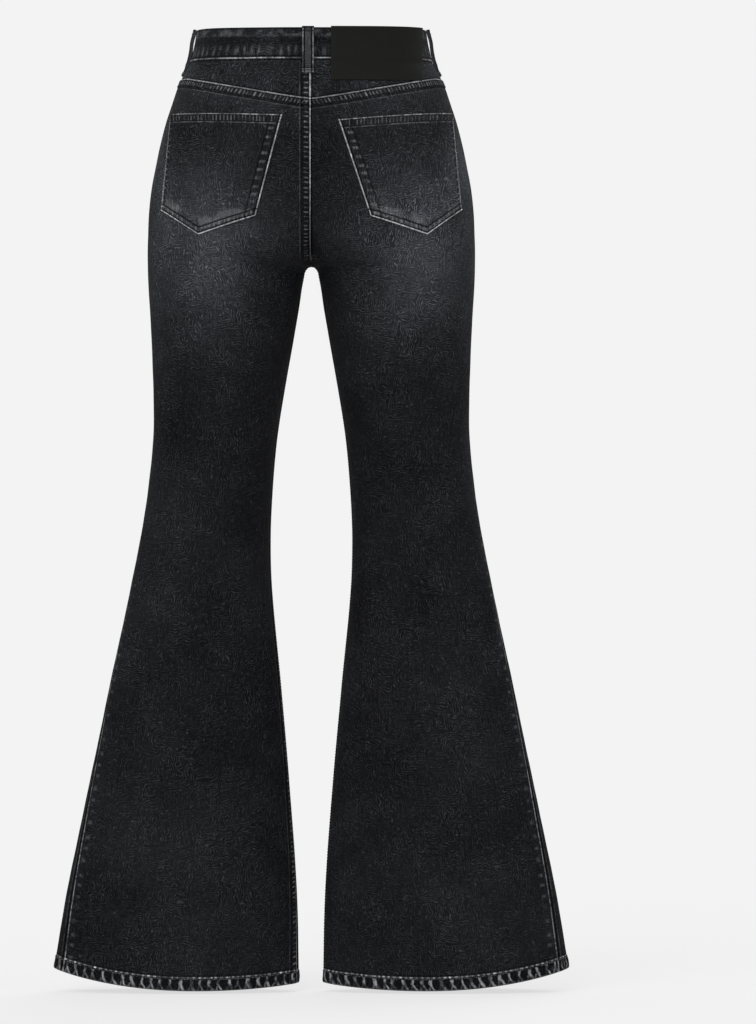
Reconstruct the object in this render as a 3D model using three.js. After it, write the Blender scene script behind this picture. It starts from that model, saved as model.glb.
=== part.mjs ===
// Flared jeans with a high waist, in the hollow form they have when worn.
// Millimetres, +Z up. The front faces -Y and the wearer's left is +X. The origin is the centre
// of the waist opening, level with the top edge of the waistband at the centre back.

import * as THREE from 'three';

// Cloth walls and the spaces between pieces
const DENIM = 1.5;
const SEAM_GAP = 0.3;
const LAY_GAP = 0.4;
const EDGE = SEAM_GAP / 2;

// Waistband
const BAND_HEIGHT = 36;
const BAND_ROWS = 4;
const BAND_WALL = 2.8;
const BAND_PROUD = 0.7;
const BAND_OVERLAP = 16;
const BAND_UNDERLAP = 24;
const BAND_STEP = 3.3;
const FRONT_DIP = 10;
const SIDE_LIFT = 2;
const DIP_END = -160;

// Rise, crotch and hem
const CROTCH_Z = -269.5;
const SIDE_CROTCH_Z = -262;
const FRONT_RISE_BEND = -170;
const BACK_RISE_BEND = -150;
const CENTRE_BACK_HOLLOW = 4;
const CROTCH_ARCH = 9;
const HEM_Z = -1099;
const HEM_OUTER_RISE = 24;
const HEM_INNER_RISE = 7;
const HEM_LOWEST = 0.4;
const HEM_HEIGHT = 15;
const HEM_WALL = 3.4;

// Yoke seam on the back, a shallow V
const YOKE_CENTRE_Z = -81.5;
const YOKE_SIDE_Z = -57;
const YOKE_HALF_WIDTH = 150;

// Fly and scooped front pockets
const FLY_LAP = 7;
const FLY_END_Z = -178;
const FLY_LIFT_END = 21;
const FLY_RAMP = 7;
const FLY_LIFT = 1.95;
const SCOOP_START_X = 68;
const SCOOP_DEPTH = 72;
const FACING_TUCK = 12;
const FACING_SET_BACK = 2.4;
const FACING_WALL = 1.2;

// Patch pockets, belt loops, label patch and button
const POCKET_WALL = 1.4;
const LOOP_WIDTH = 13.8;
const LOOP_WALL = 2.2;
const LOOP_END_Z = -52.5;
const PATCH_WALL = 1.3;
const PATCH_GAP = 0.7;
const PATCH = { inner: 23, outer: 125.7, top: 1, bottom: -60.7 };
const BUTTON_RADIUS = 8.5;
const BUTTON_HEIGHT = 3.4;
const BUTTON_Z = -18;

// Half outline by height. outer and inner are the leg's edges seen from the front,
// front and back its depths seen from the side, apexFront and apexBack how far out
// from the middle the front and back stand fullest.
const OUTLINE = [
  { z: 4, outer: 130.5, inner: 7, front: 94, back: 92, apexFront: 14, apexBack: 14 },
  { z: -20, outer: 134.5, inner: 7, front: 97, back: 95, apexFront: 15, apexBack: 22 },
  { z: -38, outer: 139.5, inner: 7, front: 99, back: 98, apexFront: 17, apexBack: 30 },
  { z: -57, outer: 150, inner: 7, front: 101, back: 102, apexFront: 20, apexBack: 40 },
  { z: -77, outer: 157.5, inner: 7, front: 103, back: 107, apexFront: 23, apexBack: 50 },
  { z: -112, outer: 169, inner: 7, front: 105, back: 114, apexFront: 32, apexBack: 63 },
  { z: -146, outer: 177, inner: 7, front: 105, back: 120, apexFront: 46, apexBack: 73 },
  { z: -192, outer: 185, inner: 7, front: 103, back: 123, apexFront: 68, apexBack: 83 },
  { z: -238, outer: 188, inner: 7, front: 98, back: 117, apexFront: 87, apexBack: 92 },
  { z: -273, outer: 188, inner: 7.6, front: 94, back: 105, apexFront: 97, apexBack: 98 },
  { z: -296, outer: 186.9, inner: 11.5, front: 91, back: 98, apexFront: 99, apexBack: 99 },
  { z: -353, outer: 184, inner: 21.3, front: 85, back: 86, apexFront: 102, apexBack: 102 },
  { z: -411, outer: 181.7, inner: 31.6, front: 78, back: 76, apexFront: 106, apexBack: 106 },
  { z: -468, outer: 182, inner: 40.3, front: 70, back: 67, apexFront: 111, apexBack: 111 },
  { z: -526, outer: 188, inner: 45.4, front: 63, back: 61, apexFront: 117, apexBack: 117 },
  { z: -583, outer: 197.2, inner: 47.7, front: 60, back: 60, apexFront: 122, apexBack: 122 },
  { z: -641, outer: 208.7, inner: 46, front: 58, back: 60, apexFront: 127, apexBack: 127 },
  { z: -756, outer: 232.9, inner: 35, front: 56, back: 60, apexFront: 134, apexBack: 134 },
  { z: -871, outer: 257, inner: 24.7, front: 53, back: 58, apexFront: 141, apexBack: 141 },
  { z: -986, outer: 280.6, inner: 16.7, front: 50, back: 56, apexFront: 149, apexBack: 149 },
  { z: -1110, outer: 302, inner: 14, front: 47, back: 54, apexFront: 158, apexBack: 158 },
];

// Where the outseams and inseams run, in degrees round the leg: 0 is the inner edge,
// 90 the front, 180 the outer edge and 270 the back.
const SEAMS = [
  { z: 10, leftOut: 178, rightOut: 178, leftIn: 0, rightIn: 0 },
  { z: -270, leftOut: 177, rightOut: 178, leftIn: 0, rightIn: 0 },
  { z: -420, leftOut: 176, rightOut: 178, leftIn: 4, rightIn: 5 },
  { z: -600, leftOut: 178, rightOut: 183, leftIn: 2, rightIn: 6 },
  { z: -760, leftOut: 188, rightOut: 190, leftIn: -2, rightIn: 7 },
  { z: -1110, leftOut: 203, rightOut: 203, leftIn: -12, rightIn: 8 },
];

// The largest folds. Each is a soft trough on the line from (x1, z1) to (x2, z2) on the
// front or back of both legs, x counted outwards from the middle.
const FOLDS = [
  { face: 1, x1: 30, z1: -292, x2: 150, z2: -322, half: 13, depth: 2.2 },
  { face: 1, x1: 70, z1: -352, x2: 165, z2: -338, half: 15, depth: 1.6 },
  { face: 1, x1: 60, z1: -492, x2: 150, z2: -512, half: 14, depth: 2.0 },
  { face: 1, x1: 85, z1: -560, x2: 170, z2: -535, half: 15, depth: 1.7 },
  { face: -1, x1: 12, z1: -238, x2: 120, z2: -205, half: 12, depth: 2.2 },
  { face: -1, x1: 30, z1: -278, x2: 140, z2: -258, half: 13, depth: 1.8 },
  { face: -1, x1: 62, z1: -520, x2: 158, z2: -500, half: 15, depth: 1.8 },
];

// Corners of the patch pockets as seen from behind, x outwards from the middle
const POCKETS = {
  left: {
    topInner: [32.3, -100.6], topOuter: [159.9, -97.5],
    lowInner: [62.2, -215], tip: [126.8, -236.6], lowOuter: [169.9, -207.6],
  },
  right: {
    topInner: [31.6, -106.2], topOuter: [160.8, -96.2],
    lowInner: [67.9, -215.3], tip: [131.9, -236.4], lowOuter: [171.3, -206.9],
  },
};

// A belt loop's inner face: its height and how far it stands off the cloth
const LOOP_PATH = [
  { z: 0.6, off: 1.2 },
  { z: -4, off: 1.2 },
  { z: -9, off: 1.9 },
  { z: -15, off: 3.1 },
  { z: -23, off: 3.3 },
  { z: -31, off: 2.9 },
  { z: -37, off: 2.2 },
  { z: -42, off: 1.1 },
  { z: -46, off: 0.5 },
  { z: LOOP_END_Z, off: 0.5 },
];

const MATERIALS = {
  denim: new THREE.MeshStandardMaterial({ color: 0x2a2b2e, roughness: 0.88, metalness: 0 }),
  patch: new THREE.MeshStandardMaterial({ color: 0x1e1e1c, roughness: 0.62, metalness: 0 }),
  metal: new THREE.MeshStandardMaterial({ color: 0x3a3a3c, roughness: 0.4, metalness: 0.9 }),
};

const HANDS = { left: 1, right: -1 };

// Numbers

function mix(a, b, t) {
  return a + (b - a) * t;
}

function ease(t) {
  const c = Math.min(Math.max(t, 0), 1);
  return c * c * (3 - 2 * c);
}

// A smooth cubic through one column of a table whose rows go downwards in z
function column(rows, key) {
  const slope = (i) => {
    const a = rows[Math.max(i - 1, 0)];
    const b = rows[Math.min(i + 1, rows.length - 1)];
    return (b[key] - a[key]) / (b.z - a.z);
  };
  return (z) => {
    const below = rows.findIndex((row) => row.z <= z);
    const i = below < 0 ? rows.length - 2 : Math.max(below - 1, 0);
    const a = rows[i];
    const b = rows[i + 1];
    const h = b.z - a.z;
    const t = Math.min(Math.max((z - a.z) / h, 0), 1);
    const rise = t * t * (3 - 2 * t);
    const lead = t * (1 - t) * (1 - t) * h * slope(i);
    const trail = t * t * (t - 1) * h * slope(i + 1);
    return mix(a[key], b[key], rise) + lead + trail;
  };
}

const OUTLINE_KEYS = ['outer', 'inner', 'front', 'back', 'apexFront', 'apexBack'];
const outline = Object.fromEntries(OUTLINE_KEYS.map((key) => [key, column(OUTLINE, key)]));
const SEAM_KEYS = ['leftOut', 'rightOut', 'leftIn', 'rightIn'];
const seams = Object.fromEntries(SEAM_KEYS.map((key) => [key, column(SEAMS, key)]));

// The surface of the cloth

// Depth of the rise seam: it follows the body, then turns under on a quarter ellipse
function riseDepth(z, bend, depthAt) {
  if (z >= bend) {
    return depthAt(z);
  }
  const q = Math.min((bend - z) / (bend - CROTCH_Z), 1);
  return depthAt(bend) * Math.sqrt(1 - q * q);
}

function centreBackDepth(z) {
  return outline.back(z) - CENTRE_BACK_HOLLOW * ease((-40 - z) / 110);
}

// The section of one leg, and of its half of the hips, at one height
function sectionAt(z) {
  const outer = outline.outer(z);
  const front = outline.front(z);
  const back = outline.back(z);
  const above = z > CROTCH_Z;
  const pinch = ease((-130 - z) / 120);
  const drop = Math.max(CROTCH_Z - z, 0);
  const arch = Math.sqrt(1 - (1 - Math.min(drop / CROTCH_ARCH, 1)) ** 2);
  const legMiddle = ((back - front) / 2) * ease(drop / 120);
  return {
    outer,
    front,
    back,
    pinch,
    side: (back - front) / 2,
    apexFront: outline.apexFront(z),
    apexBack: outline.apexBack(z),
    inner: above ? EDGE * pinch : Math.max(outline.inner(z) * arch, EDGE),
    innerFront: above ? -riseDepth(z, FRONT_RISE_BEND, outline.front) : legMiddle,
    innerBack: above ? riseDepth(z, BACK_RISE_BEND, centreBackDepth) : legMiddle,
    square: mix(2.3, 2, ease(-z / 300)),
  };
}

// A point of the section at an angle round the leg, from 0 at the inner edge over
// 90 front, 180 outer and 270 back to 360 at the inner edge again. Each quarter is part of
// an ellipse, and above the crotch the inner quarters flatten out towards the centre line.
function sectionPoint(s, degrees, below) {
  let angle = degrees;
  if (below && angle < 0) {
    angle += 360;
  }
  if (below && angle > 360) {
    angle -= 360;
  }
  const toFront = angle <= 180;
  const apexX = toFront ? s.apexFront : s.apexBack;
  const apexY = toFront ? -s.front : s.back;
  const fromApex = toFront ? angle - 90 : 270 - angle;
  const turn = (Math.abs(fromApex) * Math.PI) / 180;
  if (fromApex >= 0) {
    const x = mix(apexX, s.outer, Math.sin(turn) ** (2 / s.square));
    const y = mix(s.side, apexY, Math.max(Math.cos(turn), 0) ** (2 / s.square));
    return [x, y];
  }
  const endY = toFront ? s.innerFront : s.innerBack;
  const q = Math.min(mix(turn / (Math.PI / 2), Math.sin(turn), s.pinch), 1);
  const power = 1 / mix(0.6, 2, s.pinch);
  return [mix(apexX, s.inner, q), mix(endY, apexY, (1 - q * q) ** power)];
}

function foldDepth(x, y, z) {
  let sum = 0;
  for (const fold of FOLDS) {
    const dx = fold.x2 - fold.x1;
    const dz = fold.z2 - fold.z1;
    const along = ((x - fold.x1) * dx + (z - fold.z1) * dz) / (dx * dx + dz * dz);
    const across = ((x - fold.x1) * dz - (z - fold.z1) * dx) / Math.hypot(dx, dz);
    const fade = ease(1.25 - Math.abs(2 * along - 1));
    const facing = ease((y * fold.face) / 40);
    sum += fold.depth * fade * facing * Math.exp(-((across / fold.half) ** 2));
  }
  return sum;
}

// The cloth's outer surface in the left half, before the right half is mirrored
function cloth(degrees, z) {
  const [x, y] = sectionPoint(sectionAt(z), degrees, z <= CROTCH_Z);
  const high = ease((z - DIP_END) / -DIP_END);
  const toFront = ease(-y / 90);
  const toSide = Math.max(1 - (y / 90) ** 2, 0);
  const fold = foldDepth(x, y, z);
  const lift = high * (SIDE_LIFT * toSide - FRONT_DIP * toFront);
  return new THREE.Vector3(x, y - Math.sign(y) * fold, z + lift);
}

function clothNormal(degrees, z) {
  const down = cloth(degrees, z - 1).sub(cloth(degrees, z + 1));
  const round = cloth(degrees + 1, z).sub(cloth(degrees - 1, z));
  return down.cross(round).normalize();
}

// The angle at a share p of the way round a panel, from 0 to 1. Spacing follows the
// length of cloth and the angle in equal parts, which puts more columns in tight bends.
function angleAt(from, to, p, z) {
  const steps = 40;
  const s = sectionAt(z);
  const below = z <= CROTCH_Z;
  const reach = [0];
  let last = sectionPoint(s, from, below);
  for (let i = 1; i <= steps; i += 1) {
    const next = sectionPoint(s, mix(from, to, i / steps), below);
    reach.push(reach[i - 1] + Math.hypot(next[0] - last[0], next[1] - last[1]));
    last = next;
  }
  const length = reach[steps];
  const share = reach.map((r, i) => (r / length + i / steps) / 2);
  const i = Math.min(Math.max(share.findIndex((v) => v >= p), 1), steps);
  const t = (p - share[i - 1]) / (share[i] - share[i - 1]);
  return { angle: mix(from, to, (i - 1 + t) / steps), length };
}

// The angle on the front or back where the cloth is x out from the middle
function angleAtX(x, z, face) {
  let [near, far] = face < 0 ? [0, 180] : [360, 180];
  const s = sectionAt(z);
  for (let i = 0; i < 40; i += 1) {
    const middle = (near + far) / 2;
    if (sectionPoint(s, middle, z <= CROTCH_Z)[0] < x) {
      near = middle;
    } else {
      far = middle;
    }
  }
  return (near + far) / 2;
}

// Heights of the rows of a leg

// Height of the hem for a place across the leg, lowest a little inside its middle
function hemHeight(x) {
  const inner = outline.inner(HEM_Z);
  const t = (x - inner) / (outline.outer(HEM_Z) - inner);
  const out = Math.max((t - HEM_LOWEST) / (1 - HEM_LOWEST), 0);
  const into = Math.max((HEM_LOWEST - t) / HEM_LOWEST, 0);
  return HEM_Z + HEM_OUTER_RISE * out ** 2.1 + HEM_INNER_RISE * into ** 2;
}

// Height on the rise seam at a share t of the way from the panel's top to the crotch
function riseHeight(t, top) {
  const bend = BACK_RISE_BEND;
  const straight = 0.42;
  if (t < straight) {
    return mix(top, bend, t / straight);
  }
  const turn = ((t - straight) / (1 - straight)) * (Math.PI / 2);
  return mix(bend, CROTCH_Z, Math.sin(turn));
}

const RISE_ROWS = 13;
const LEG_ROWS = 25;

// Rows of a whole panel: the rise, the leg, then the folded hem with its thicker wall.
// out is 0 at the inner edge of the panel and 1 at its outseam.
function panelHeight(row, out, top, hem) {
  if (row <= RISE_ROWS) {
    const t = row / RISE_ROWS;
    const side = mix(top, SIDE_CROTCH_Z, t);
    return mix(riseHeight(t, top), side, ease(out * 1.1));
  }
  const start = mix(CROTCH_Z, SIDE_CROTCH_Z, ease(out * 1.1));
  if (row <= RISE_ROWS + LEG_ROWS) {
    const t = (row - RISE_ROWS) / LEG_ROWS;
    const slow = (t * (1 - Math.exp(-4.5 * t))) / (1 - Math.exp(-4.5));
    return mix(start, hem + HEM_HEIGHT, mix(slow, t, ease(out * 1.3)));
  }
  return row === RISE_ROWS + LEG_ROWS + 1 ? hem + HEM_HEIGHT - 0.8 : hem;
}

const PANEL_ROWS = RISE_ROWS + LEG_ROWS + 2;

// Meshes

// A closed wall between an outer and an inner grid of points, rows downwards and columns
// from the front round to the back. hand -1 mirrors it to the right half.
function wallMesh(name, material, outer, inner, hand = 1) {
  const rows = outer.length;
  const columns = outer[0].length;
  const positions = [];
  for (const grid of [outer, inner]) {
    for (const row of grid) {
      for (const point of row) {
        positions.push(point.x * hand, point.y, point.z);
      }
    }
  }
  const at = (layer, r, c) => (layer * rows + r) * columns + c;
  const index = [];
  const quad = (a, b, c, d) => {
    index.push(...(hand > 0 ? [a, b, c, a, c, d] : [a, c, b, a, d, c]));
  };
  for (let r = 0; r + 1 < rows; r += 1) {
    for (let c = 0; c + 1 < columns; c += 1) {
      quad(at(0, r, c), at(0, r + 1, c), at(0, r + 1, c + 1), at(0, r, c + 1));
      quad(at(1, r, c), at(1, r, c + 1), at(1, r + 1, c + 1), at(1, r + 1, c));
    }
  }
  for (let c = 0; c + 1 < columns; c += 1) {
    quad(at(0, 0, c), at(0, 0, c + 1), at(1, 0, c + 1), at(1, 0, c));
    quad(at(0, rows - 1, c), at(1, rows - 1, c), at(1, rows - 1, c + 1), at(0, rows - 1, c + 1));
  }
  for (let r = 0; r + 1 < rows; r += 1) {
    quad(at(0, r, 0), at(1, r, 0), at(1, r + 1, 0), at(0, r + 1, 0));
    const c = columns - 1;
    quad(at(0, r, c), at(0, r + 1, c), at(1, r + 1, c), at(1, r, c));
  }
  const geometry = new THREE.BufferGeometry();
  geometry.setAttribute('position', new THREE.Float32BufferAttribute(positions, 3));
  geometry.setIndex(index);
  geometry.computeVertexNormals();
  const mesh = new THREE.Mesh(geometry, material);
  mesh.name = name;
  return mesh;
}

function gridOf(rows, columns, pointAt) {
  const line = (n) => Array.from({ length: n + 1 }, (_, i) => i);
  return line(rows).map((r) => line(columns).map((c) => pointAt(r, c)));
}

// A cloth wall over a grid of spots, each an angle and a height. outerOff and innerOff say
// how far its faces stand off the cloth's surface at a row and column.
function clothWall(name, material, spots, outerOff, innerOff, hand) {
  const face = (off) => spots.map((row, r) => row.map(([degrees, z], c) => {
    return cloth(degrees, z).addScaledVector(clothNormal(degrees, z), off(r, c));
  }));
  return wallMesh(name, material, face(outerOff), face(innerOff), hand);
}

const flush = () => 0;
const oneLayer = () => -DENIM;
const panelWall = (r) => (r > PANEL_ROWS - 2 ? -HEM_WALL : -DENIM);

// Back panels and yokes

function yokeHeight(x) {
  return mix(YOKE_CENTRE_Z, YOKE_SIDE_Z, Math.min(x / YOKE_HALF_WIDTH, 1) ** 1.1);
}

// The angle a share p of the way round the back, from the outseam to the centre back
// or the inseam, with the seam's space left at both ends
function backAngle(side, p, z) {
  const from = seams[`${side}Out`](z);
  const to = 360 + seams[`${side}In`](z);
  const trim = EDGE / angleAt(from, to, 0.5, z).length;
  return angleAt(from, to, mix(trim, 1 - trim, p), z).angle;
}

function backColumnX(side, p) {
  return cloth(backAngle(side, p, YOKE_CENTRE_Z), YOKE_CENTRE_Z).x;
}

const BACK_COLUMNS = 13;

function backPanel(side) {
  const spots = gridOf(PANEL_ROWS, BACK_COLUMNS, (r, c) => {
    const p = c / BACK_COLUMNS;
    const top = yokeHeight(backColumnX(side, p)) - EDGE;
    const hem = hemHeight(cloth(backAngle(side, p, HEM_Z), HEM_Z).x);
    const z = panelHeight(r, 1 - p, top, hem);
    return [backAngle(side, p, z), z];
  });
  return clothWall(`back_${side}`, MATERIALS.denim, spots, flush, panelWall, HANDS[side]);
}

function yoke(side) {
  const rows = 3;
  const spots = gridOf(rows, BACK_COLUMNS, (r, c) => {
    const p = c / BACK_COLUMNS;
    const low = yokeHeight(backColumnX(side, p)) + EDGE;
    const z = mix(-BAND_HEIGHT - SEAM_GAP, low, r / rows);
    return [backAngle(side, p, z), z];
  });
  return clothWall(`yoke_${side}`, MATERIALS.denim, spots, flush, oneLayer, HANDS[side]);
}

// Front panels, with the scooped pocket mouth and the lapped fly edge

const FRONT_COLUMNS = 14;
const SCOOP_COLUMN = 6;

// How far across the scoop a column lies, gathered a little where the scoop is steep
function scoopShareAt(c) {
  const t = (c - SCOOP_COLUMN) / (FRONT_COLUMNS - SCOOP_COLUMN);
  return mix(t, 1 - Math.cos(t * (Math.PI / 2)), 0.5);
}

// How far round the front each column lies: set by the scoop near the top, even below
function frontShare(c, row, scoopStart) {
  const near = (c / SCOOP_COLUMN) * scoopStart;
  const gathered = c <= SCOOP_COLUMN ? near : mix(scoopStart, 1, scoopShareAt(c));
  return mix(gathered, c / FRONT_COLUMNS, ease(row / (RISE_ROWS + 4)));
}

function scoopDepth(c) {
  return c <= SCOOP_COLUMN ? 0 : SCOOP_DEPTH * Math.sqrt(1 - (1 - scoopShareAt(c)) ** 2);
}

function frontAngle(side, p, z) {
  const from = z > CROTCH_Z ? 0 : seams[`${side}In`](z);
  const to = seams[`${side}Out`](z);
  const trim = EDGE / angleAt(from, to, 0.5, z).length;
  return angleAt(from, to, mix(trim, 1 - trim, p), z).angle;
}

// Share of the way round the front at which the cloth is x out from the middle
function frontShareAtX(side, x, z) {
  let near = 0;
  let far = 1;
  for (let i = 0; i < 30; i += 1) {
    const middle = (near + far) / 2;
    if (cloth(frontAngle(side, middle, z), z).x < x) {
      near = middle;
    } else {
      far = middle;
    }
  }
  return near;
}

// The left front lies over the right one along the fly: its edge passes the centre line
// and the cloth beside it rises by its own thickness, which it loses again further out.
function flyLift(x, z) {
  return FLY_LIFT * ease((z - FLY_END_Z + 22) / 12) * ease((FLY_LIFT_END - x) / FLY_RAMP);
}

function flyLap(c, z) {
  return c === 0 && z > FLY_END_Z + 12 ? FLY_LAP : 0;
}

function frontPanel(side) {
  const top = -BAND_HEIGHT - SEAM_GAP;
  const scoopStart = frontShareAtX(side, SCOOP_START_X, top);
  const lapped = side === 'left';
  const face = (depthAt) => gridOf(PANEL_ROWS, FRONT_COLUMNS, (r, c) => {
    const p = frontShare(c, r, scoopStart);
    const hem = hemHeight(cloth(frontAngle(side, p, HEM_Z), HEM_Z).x);
    const z = panelHeight(r, p, top - scoopDepth(c), hem);
    const degrees = frontAngle(side, p, z);
    const point = cloth(degrees, z);
    const lift = lapped ? flyLift(point.x, z) : 0;
    point.addScaledVector(clothNormal(degrees, z), depthAt(r));
    return point.sub(new THREE.Vector3(lapped ? flyLap(c, z) : 0, lift, 0));
  });
  return wallMesh(`front_${side}`, MATERIALS.denim, face(flush), face(panelWall), HANDS[side]);
}

// Denim that shows inside the scooped pocket mouth, set behind the front panel
function pocketFacing(side) {
  const columns = 7;
  const rows = 5;
  const top = -BAND_HEIGHT - SEAM_GAP;
  const start = frontShareAtX(side, SCOOP_START_X - FACING_TUCK, top);
  const spots = gridOf(rows, columns, (r, c) => {
    const p = mix(start, 1, c / columns);
    const z = mix(top, top - SCOOP_DEPTH - FACING_TUCK, r / rows);
    return [frontAngle(side, p, z), z];
  });
  const outerOff = () => -FACING_SET_BACK;
  const innerOff = () => -FACING_SET_BACK - FACING_WALL;
  const name = `pocket_facing_${side}`;
  return clothWall(name, MATERIALS.denim, spots, outerOff, innerOff, HANDS[side]);
}

// Waistband: one strip round the waist whose left end laps over the right at the front

function waistband() {
  const rows = BAND_ROWS;
  const steps = 30;
  const bandZ = (r) => mix(0, -BAND_HEIGHT, r / rows);
  const stations = [];
  const add = (hand, degreesAt, sunk) => stations.push({ hand, degreesAt, sunk });
  for (const x of [BAND_UNDERLAP, BAND_UNDERLAP / 2]) {
    add(1, (z) => angleAtX(x, z, -1), 1);
  }
  for (let i = 0; i <= steps; i += 1) {
    add(-1, (z) => angleAt(0, 360, i / steps, z).angle, null);
  }
  for (let i = steps - 1; i >= 0; i -= 1) {
    add(1, (z) => angleAt(0, 360, i / steps, z).angle, 0);
  }
  for (const x of [BAND_OVERLAP / 2, BAND_OVERLAP]) {
    add(-1, (z) => angleAtX(x, z, -1), 0);
  }
  const place = (r, station, off) => {
    const degrees = station.degreesAt(bandZ(r));
    const point = cloth(degrees, bandZ(r));
    const normal = clothNormal(Math.min(Math.max(degrees, 1.5), 358.5), bandZ(r));
    const nearEnd = point.y < 0 ? ease((BAND_OVERLAP + 32 - point.x) / 28) : 0;
    const sunk = station.sunk === null ? nearEnd : station.sunk;
    point.addScaledVector(normal, off - BAND_STEP * sunk);
    point.x *= station.hand;
    return point;
  };
  const order = stations.reverse();
  const outer = gridOf(rows, order.length - 1, (r, c) => place(r, order[c], BAND_PROUD));
  const inner = gridOf(rows, order.length - 1, (r, c) => place(r, order[c], BAND_PROUD - BAND_WALL));
  return wallMesh('waistband', MATERIALS.denim, outer, inner);
}

// Pieces that lie on the panels

function backPocket(side) {
  const corners = POCKETS[side];
  const onCloth = ([x, z]) => [angleAtX(x, z, 1), z];
  const [topInner, topOuter] = [onCloth(corners.topInner), onCloth(corners.topOuter)];
  const [lowInner, tip, lowOuter] = [corners.lowInner, corners.tip, corners.lowOuter].map(onCloth);
  const columns = 16;
  const rows = 11;
  const tipShare = 0.5;
  const between = (a, b, t) => [mix(a[0], b[0], t), mix(a[1], b[1], t)];
  const spots = gridOf(rows, columns, (r, c) => {
    const t = c / columns;
    const top = between(topOuter, topInner, t);
    const outerPart = between(lowOuter, tip, t / tipShare);
    const innerPart = between(tip, lowInner, (t - tipShare) / (1 - tipShare));
    const low = t < tipShare ? outerPart : innerPart;
    return between(top, low, r / rows);
  });
  const outerOff = () => LAY_GAP + POCKET_WALL;
  const innerOff = () => LAY_GAP;
  const name = `pocket_back_${side}`;
  return clothWall(name, MATERIALS.denim, spots, outerOff, innerOff, HANDS[side]);
}

function beltLoop(name, degreesAt, hand) {
  const columns = 3;
  const spots = gridOf(LOOP_PATH.length - 1, columns, (r, c) => {
    const { z } = LOOP_PATH[r];
    const middle = degreesAt(z);
    const perDegree = cloth(middle + 2, z).distanceTo(cloth(middle - 2, z)) / 4;
    const across = mix(-LOOP_WIDTH / 2, LOOP_WIDTH / 2, c / columns);
    return [middle + across / perDegree, z];
  });
  const outerOff = (r) => LOOP_PATH[r].off + LOOP_WALL;
  const innerOff = (r) => LOOP_PATH[r].off;
  return clothWall(name, MATERIALS.denim, spots, outerOff, innerOff, hand);
}

// The centre-back loop crosses the centre line, so it is laid by distance from the middle
function centreBackLoop() {
  const middle = 3;
  const columns = 4;
  const place = (r, c, extra) => {
    const { z, off } = LOOP_PATH[r];
    const x = middle + mix(LOOP_WIDTH / 2, -LOOP_WIDTH / 2, c / columns);
    const degrees = Math.min(angleAtX(Math.max(Math.abs(x), 0.4), z, 1), 358.5);
    const point = cloth(degrees, z).addScaledVector(clothNormal(degrees, z), off + extra);
    point.x = x;
    return point;
  };
  const outer = gridOf(LOOP_PATH.length - 1, columns, (r, c) => place(r, c, LOOP_WALL));
  const inner = gridOf(LOOP_PATH.length - 1, columns, (r, c) => place(r, c, 0));
  return wallMesh('belt_loop_back', MATERIALS.denim, outer, inner);
}

function labelPatch() {
  const onBand = [1, 2, 3, 4].map((row) => (-BAND_HEIGHT * row) / BAND_ROWS);
  const heights = [PATCH.top, ...onBand, -48, PATCH.bottom];
  const columns = 14;
  const spots = gridOf(heights.length - 1, columns, (r, c) => {
    const z = heights[r];
    const from = angleAtX(PATCH.outer, z, 1);
    const to = angleAtX(PATCH.inner, z, 1);
    return [mix(from, to, c / columns), z];
  });
  const under = (r) => PATCH_GAP + (heights[r] < -BAND_HEIGHT ? 0 : BAND_PROUD);
  const outerOff = (r) => under(r) + PATCH_WALL;
  return clothWall('label_patch', MATERIALS.patch, spots, outerOff, under, HANDS.right);
}

// A turned metal button with a raised rim on a short shank
function waistButton() {
  const profile = [
    [0, 0], [3.5, 0], [3.5, 0.9], [BUTTON_RADIUS - 0.6, 0.9], [BUTTON_RADIUS, 1.5],
    [BUTTON_RADIUS, 2.5], [BUTTON_RADIUS - 0.8, BUTTON_HEIGHT], [BUTTON_RADIUS - 2.2, BUTTON_HEIGHT],
    [BUTTON_RADIUS - 2.8, 2.7], [1.5, 3.1], [0, 3.2],
  ];
  const points = profile.map(([radius, height]) => new THREE.Vector2(radius, height));
  const geometry = new THREE.LatheGeometry(points, 20);
  const degrees = angleAtX(3, BUTTON_Z, -1);
  const normal = clothNormal(degrees, BUTTON_Z);
  const seat = cloth(degrees, BUTTON_Z).addScaledVector(normal, BAND_PROUD + SEAM_GAP);
  const mesh = new THREE.Mesh(geometry, MATERIALS.metal);
  mesh.name = 'waist_button';
  mesh.position.set(-seat.x, seat.y, seat.z);
  const mirrored = new THREE.Vector3(-normal.x, normal.y, normal.z);
  mesh.quaternion.setFromUnitVectors(new THREE.Vector3(0, 1, 0), mirrored);
  return mesh;
}

// The whole garment

const jeans = new THREE.Group();
for (const side of Object.keys(HANDS)) {
  jeans.add(frontPanel(side));
  jeans.add(backPanel(side));
  jeans.add(yoke(side));
  jeans.add(pocketFacing(side));
  jeans.add(backPocket(side));
  jeans.add(beltLoop(`belt_loop_side_${side}`, () => 180, HANDS[side]));
  jeans.add(beltLoop(`belt_loop_front_${side}`, (z) => angleAtX(72, z, -1), HANDS[side]));
}
jeans.add(waistband());
jeans.add(centreBackLoop());
jeans.add(labelPatch());
jeans.add(waistButton());

export default jeans;
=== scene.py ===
"""Flared jeans with a high waist, in washed black denim, seen from behind.

The front faces -Y and the wearer's left is +X. Tables and formulas are in millimetres, as the
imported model's are, and meshes are written in metres. Each piece lies where its node does.
"""

import math

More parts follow.
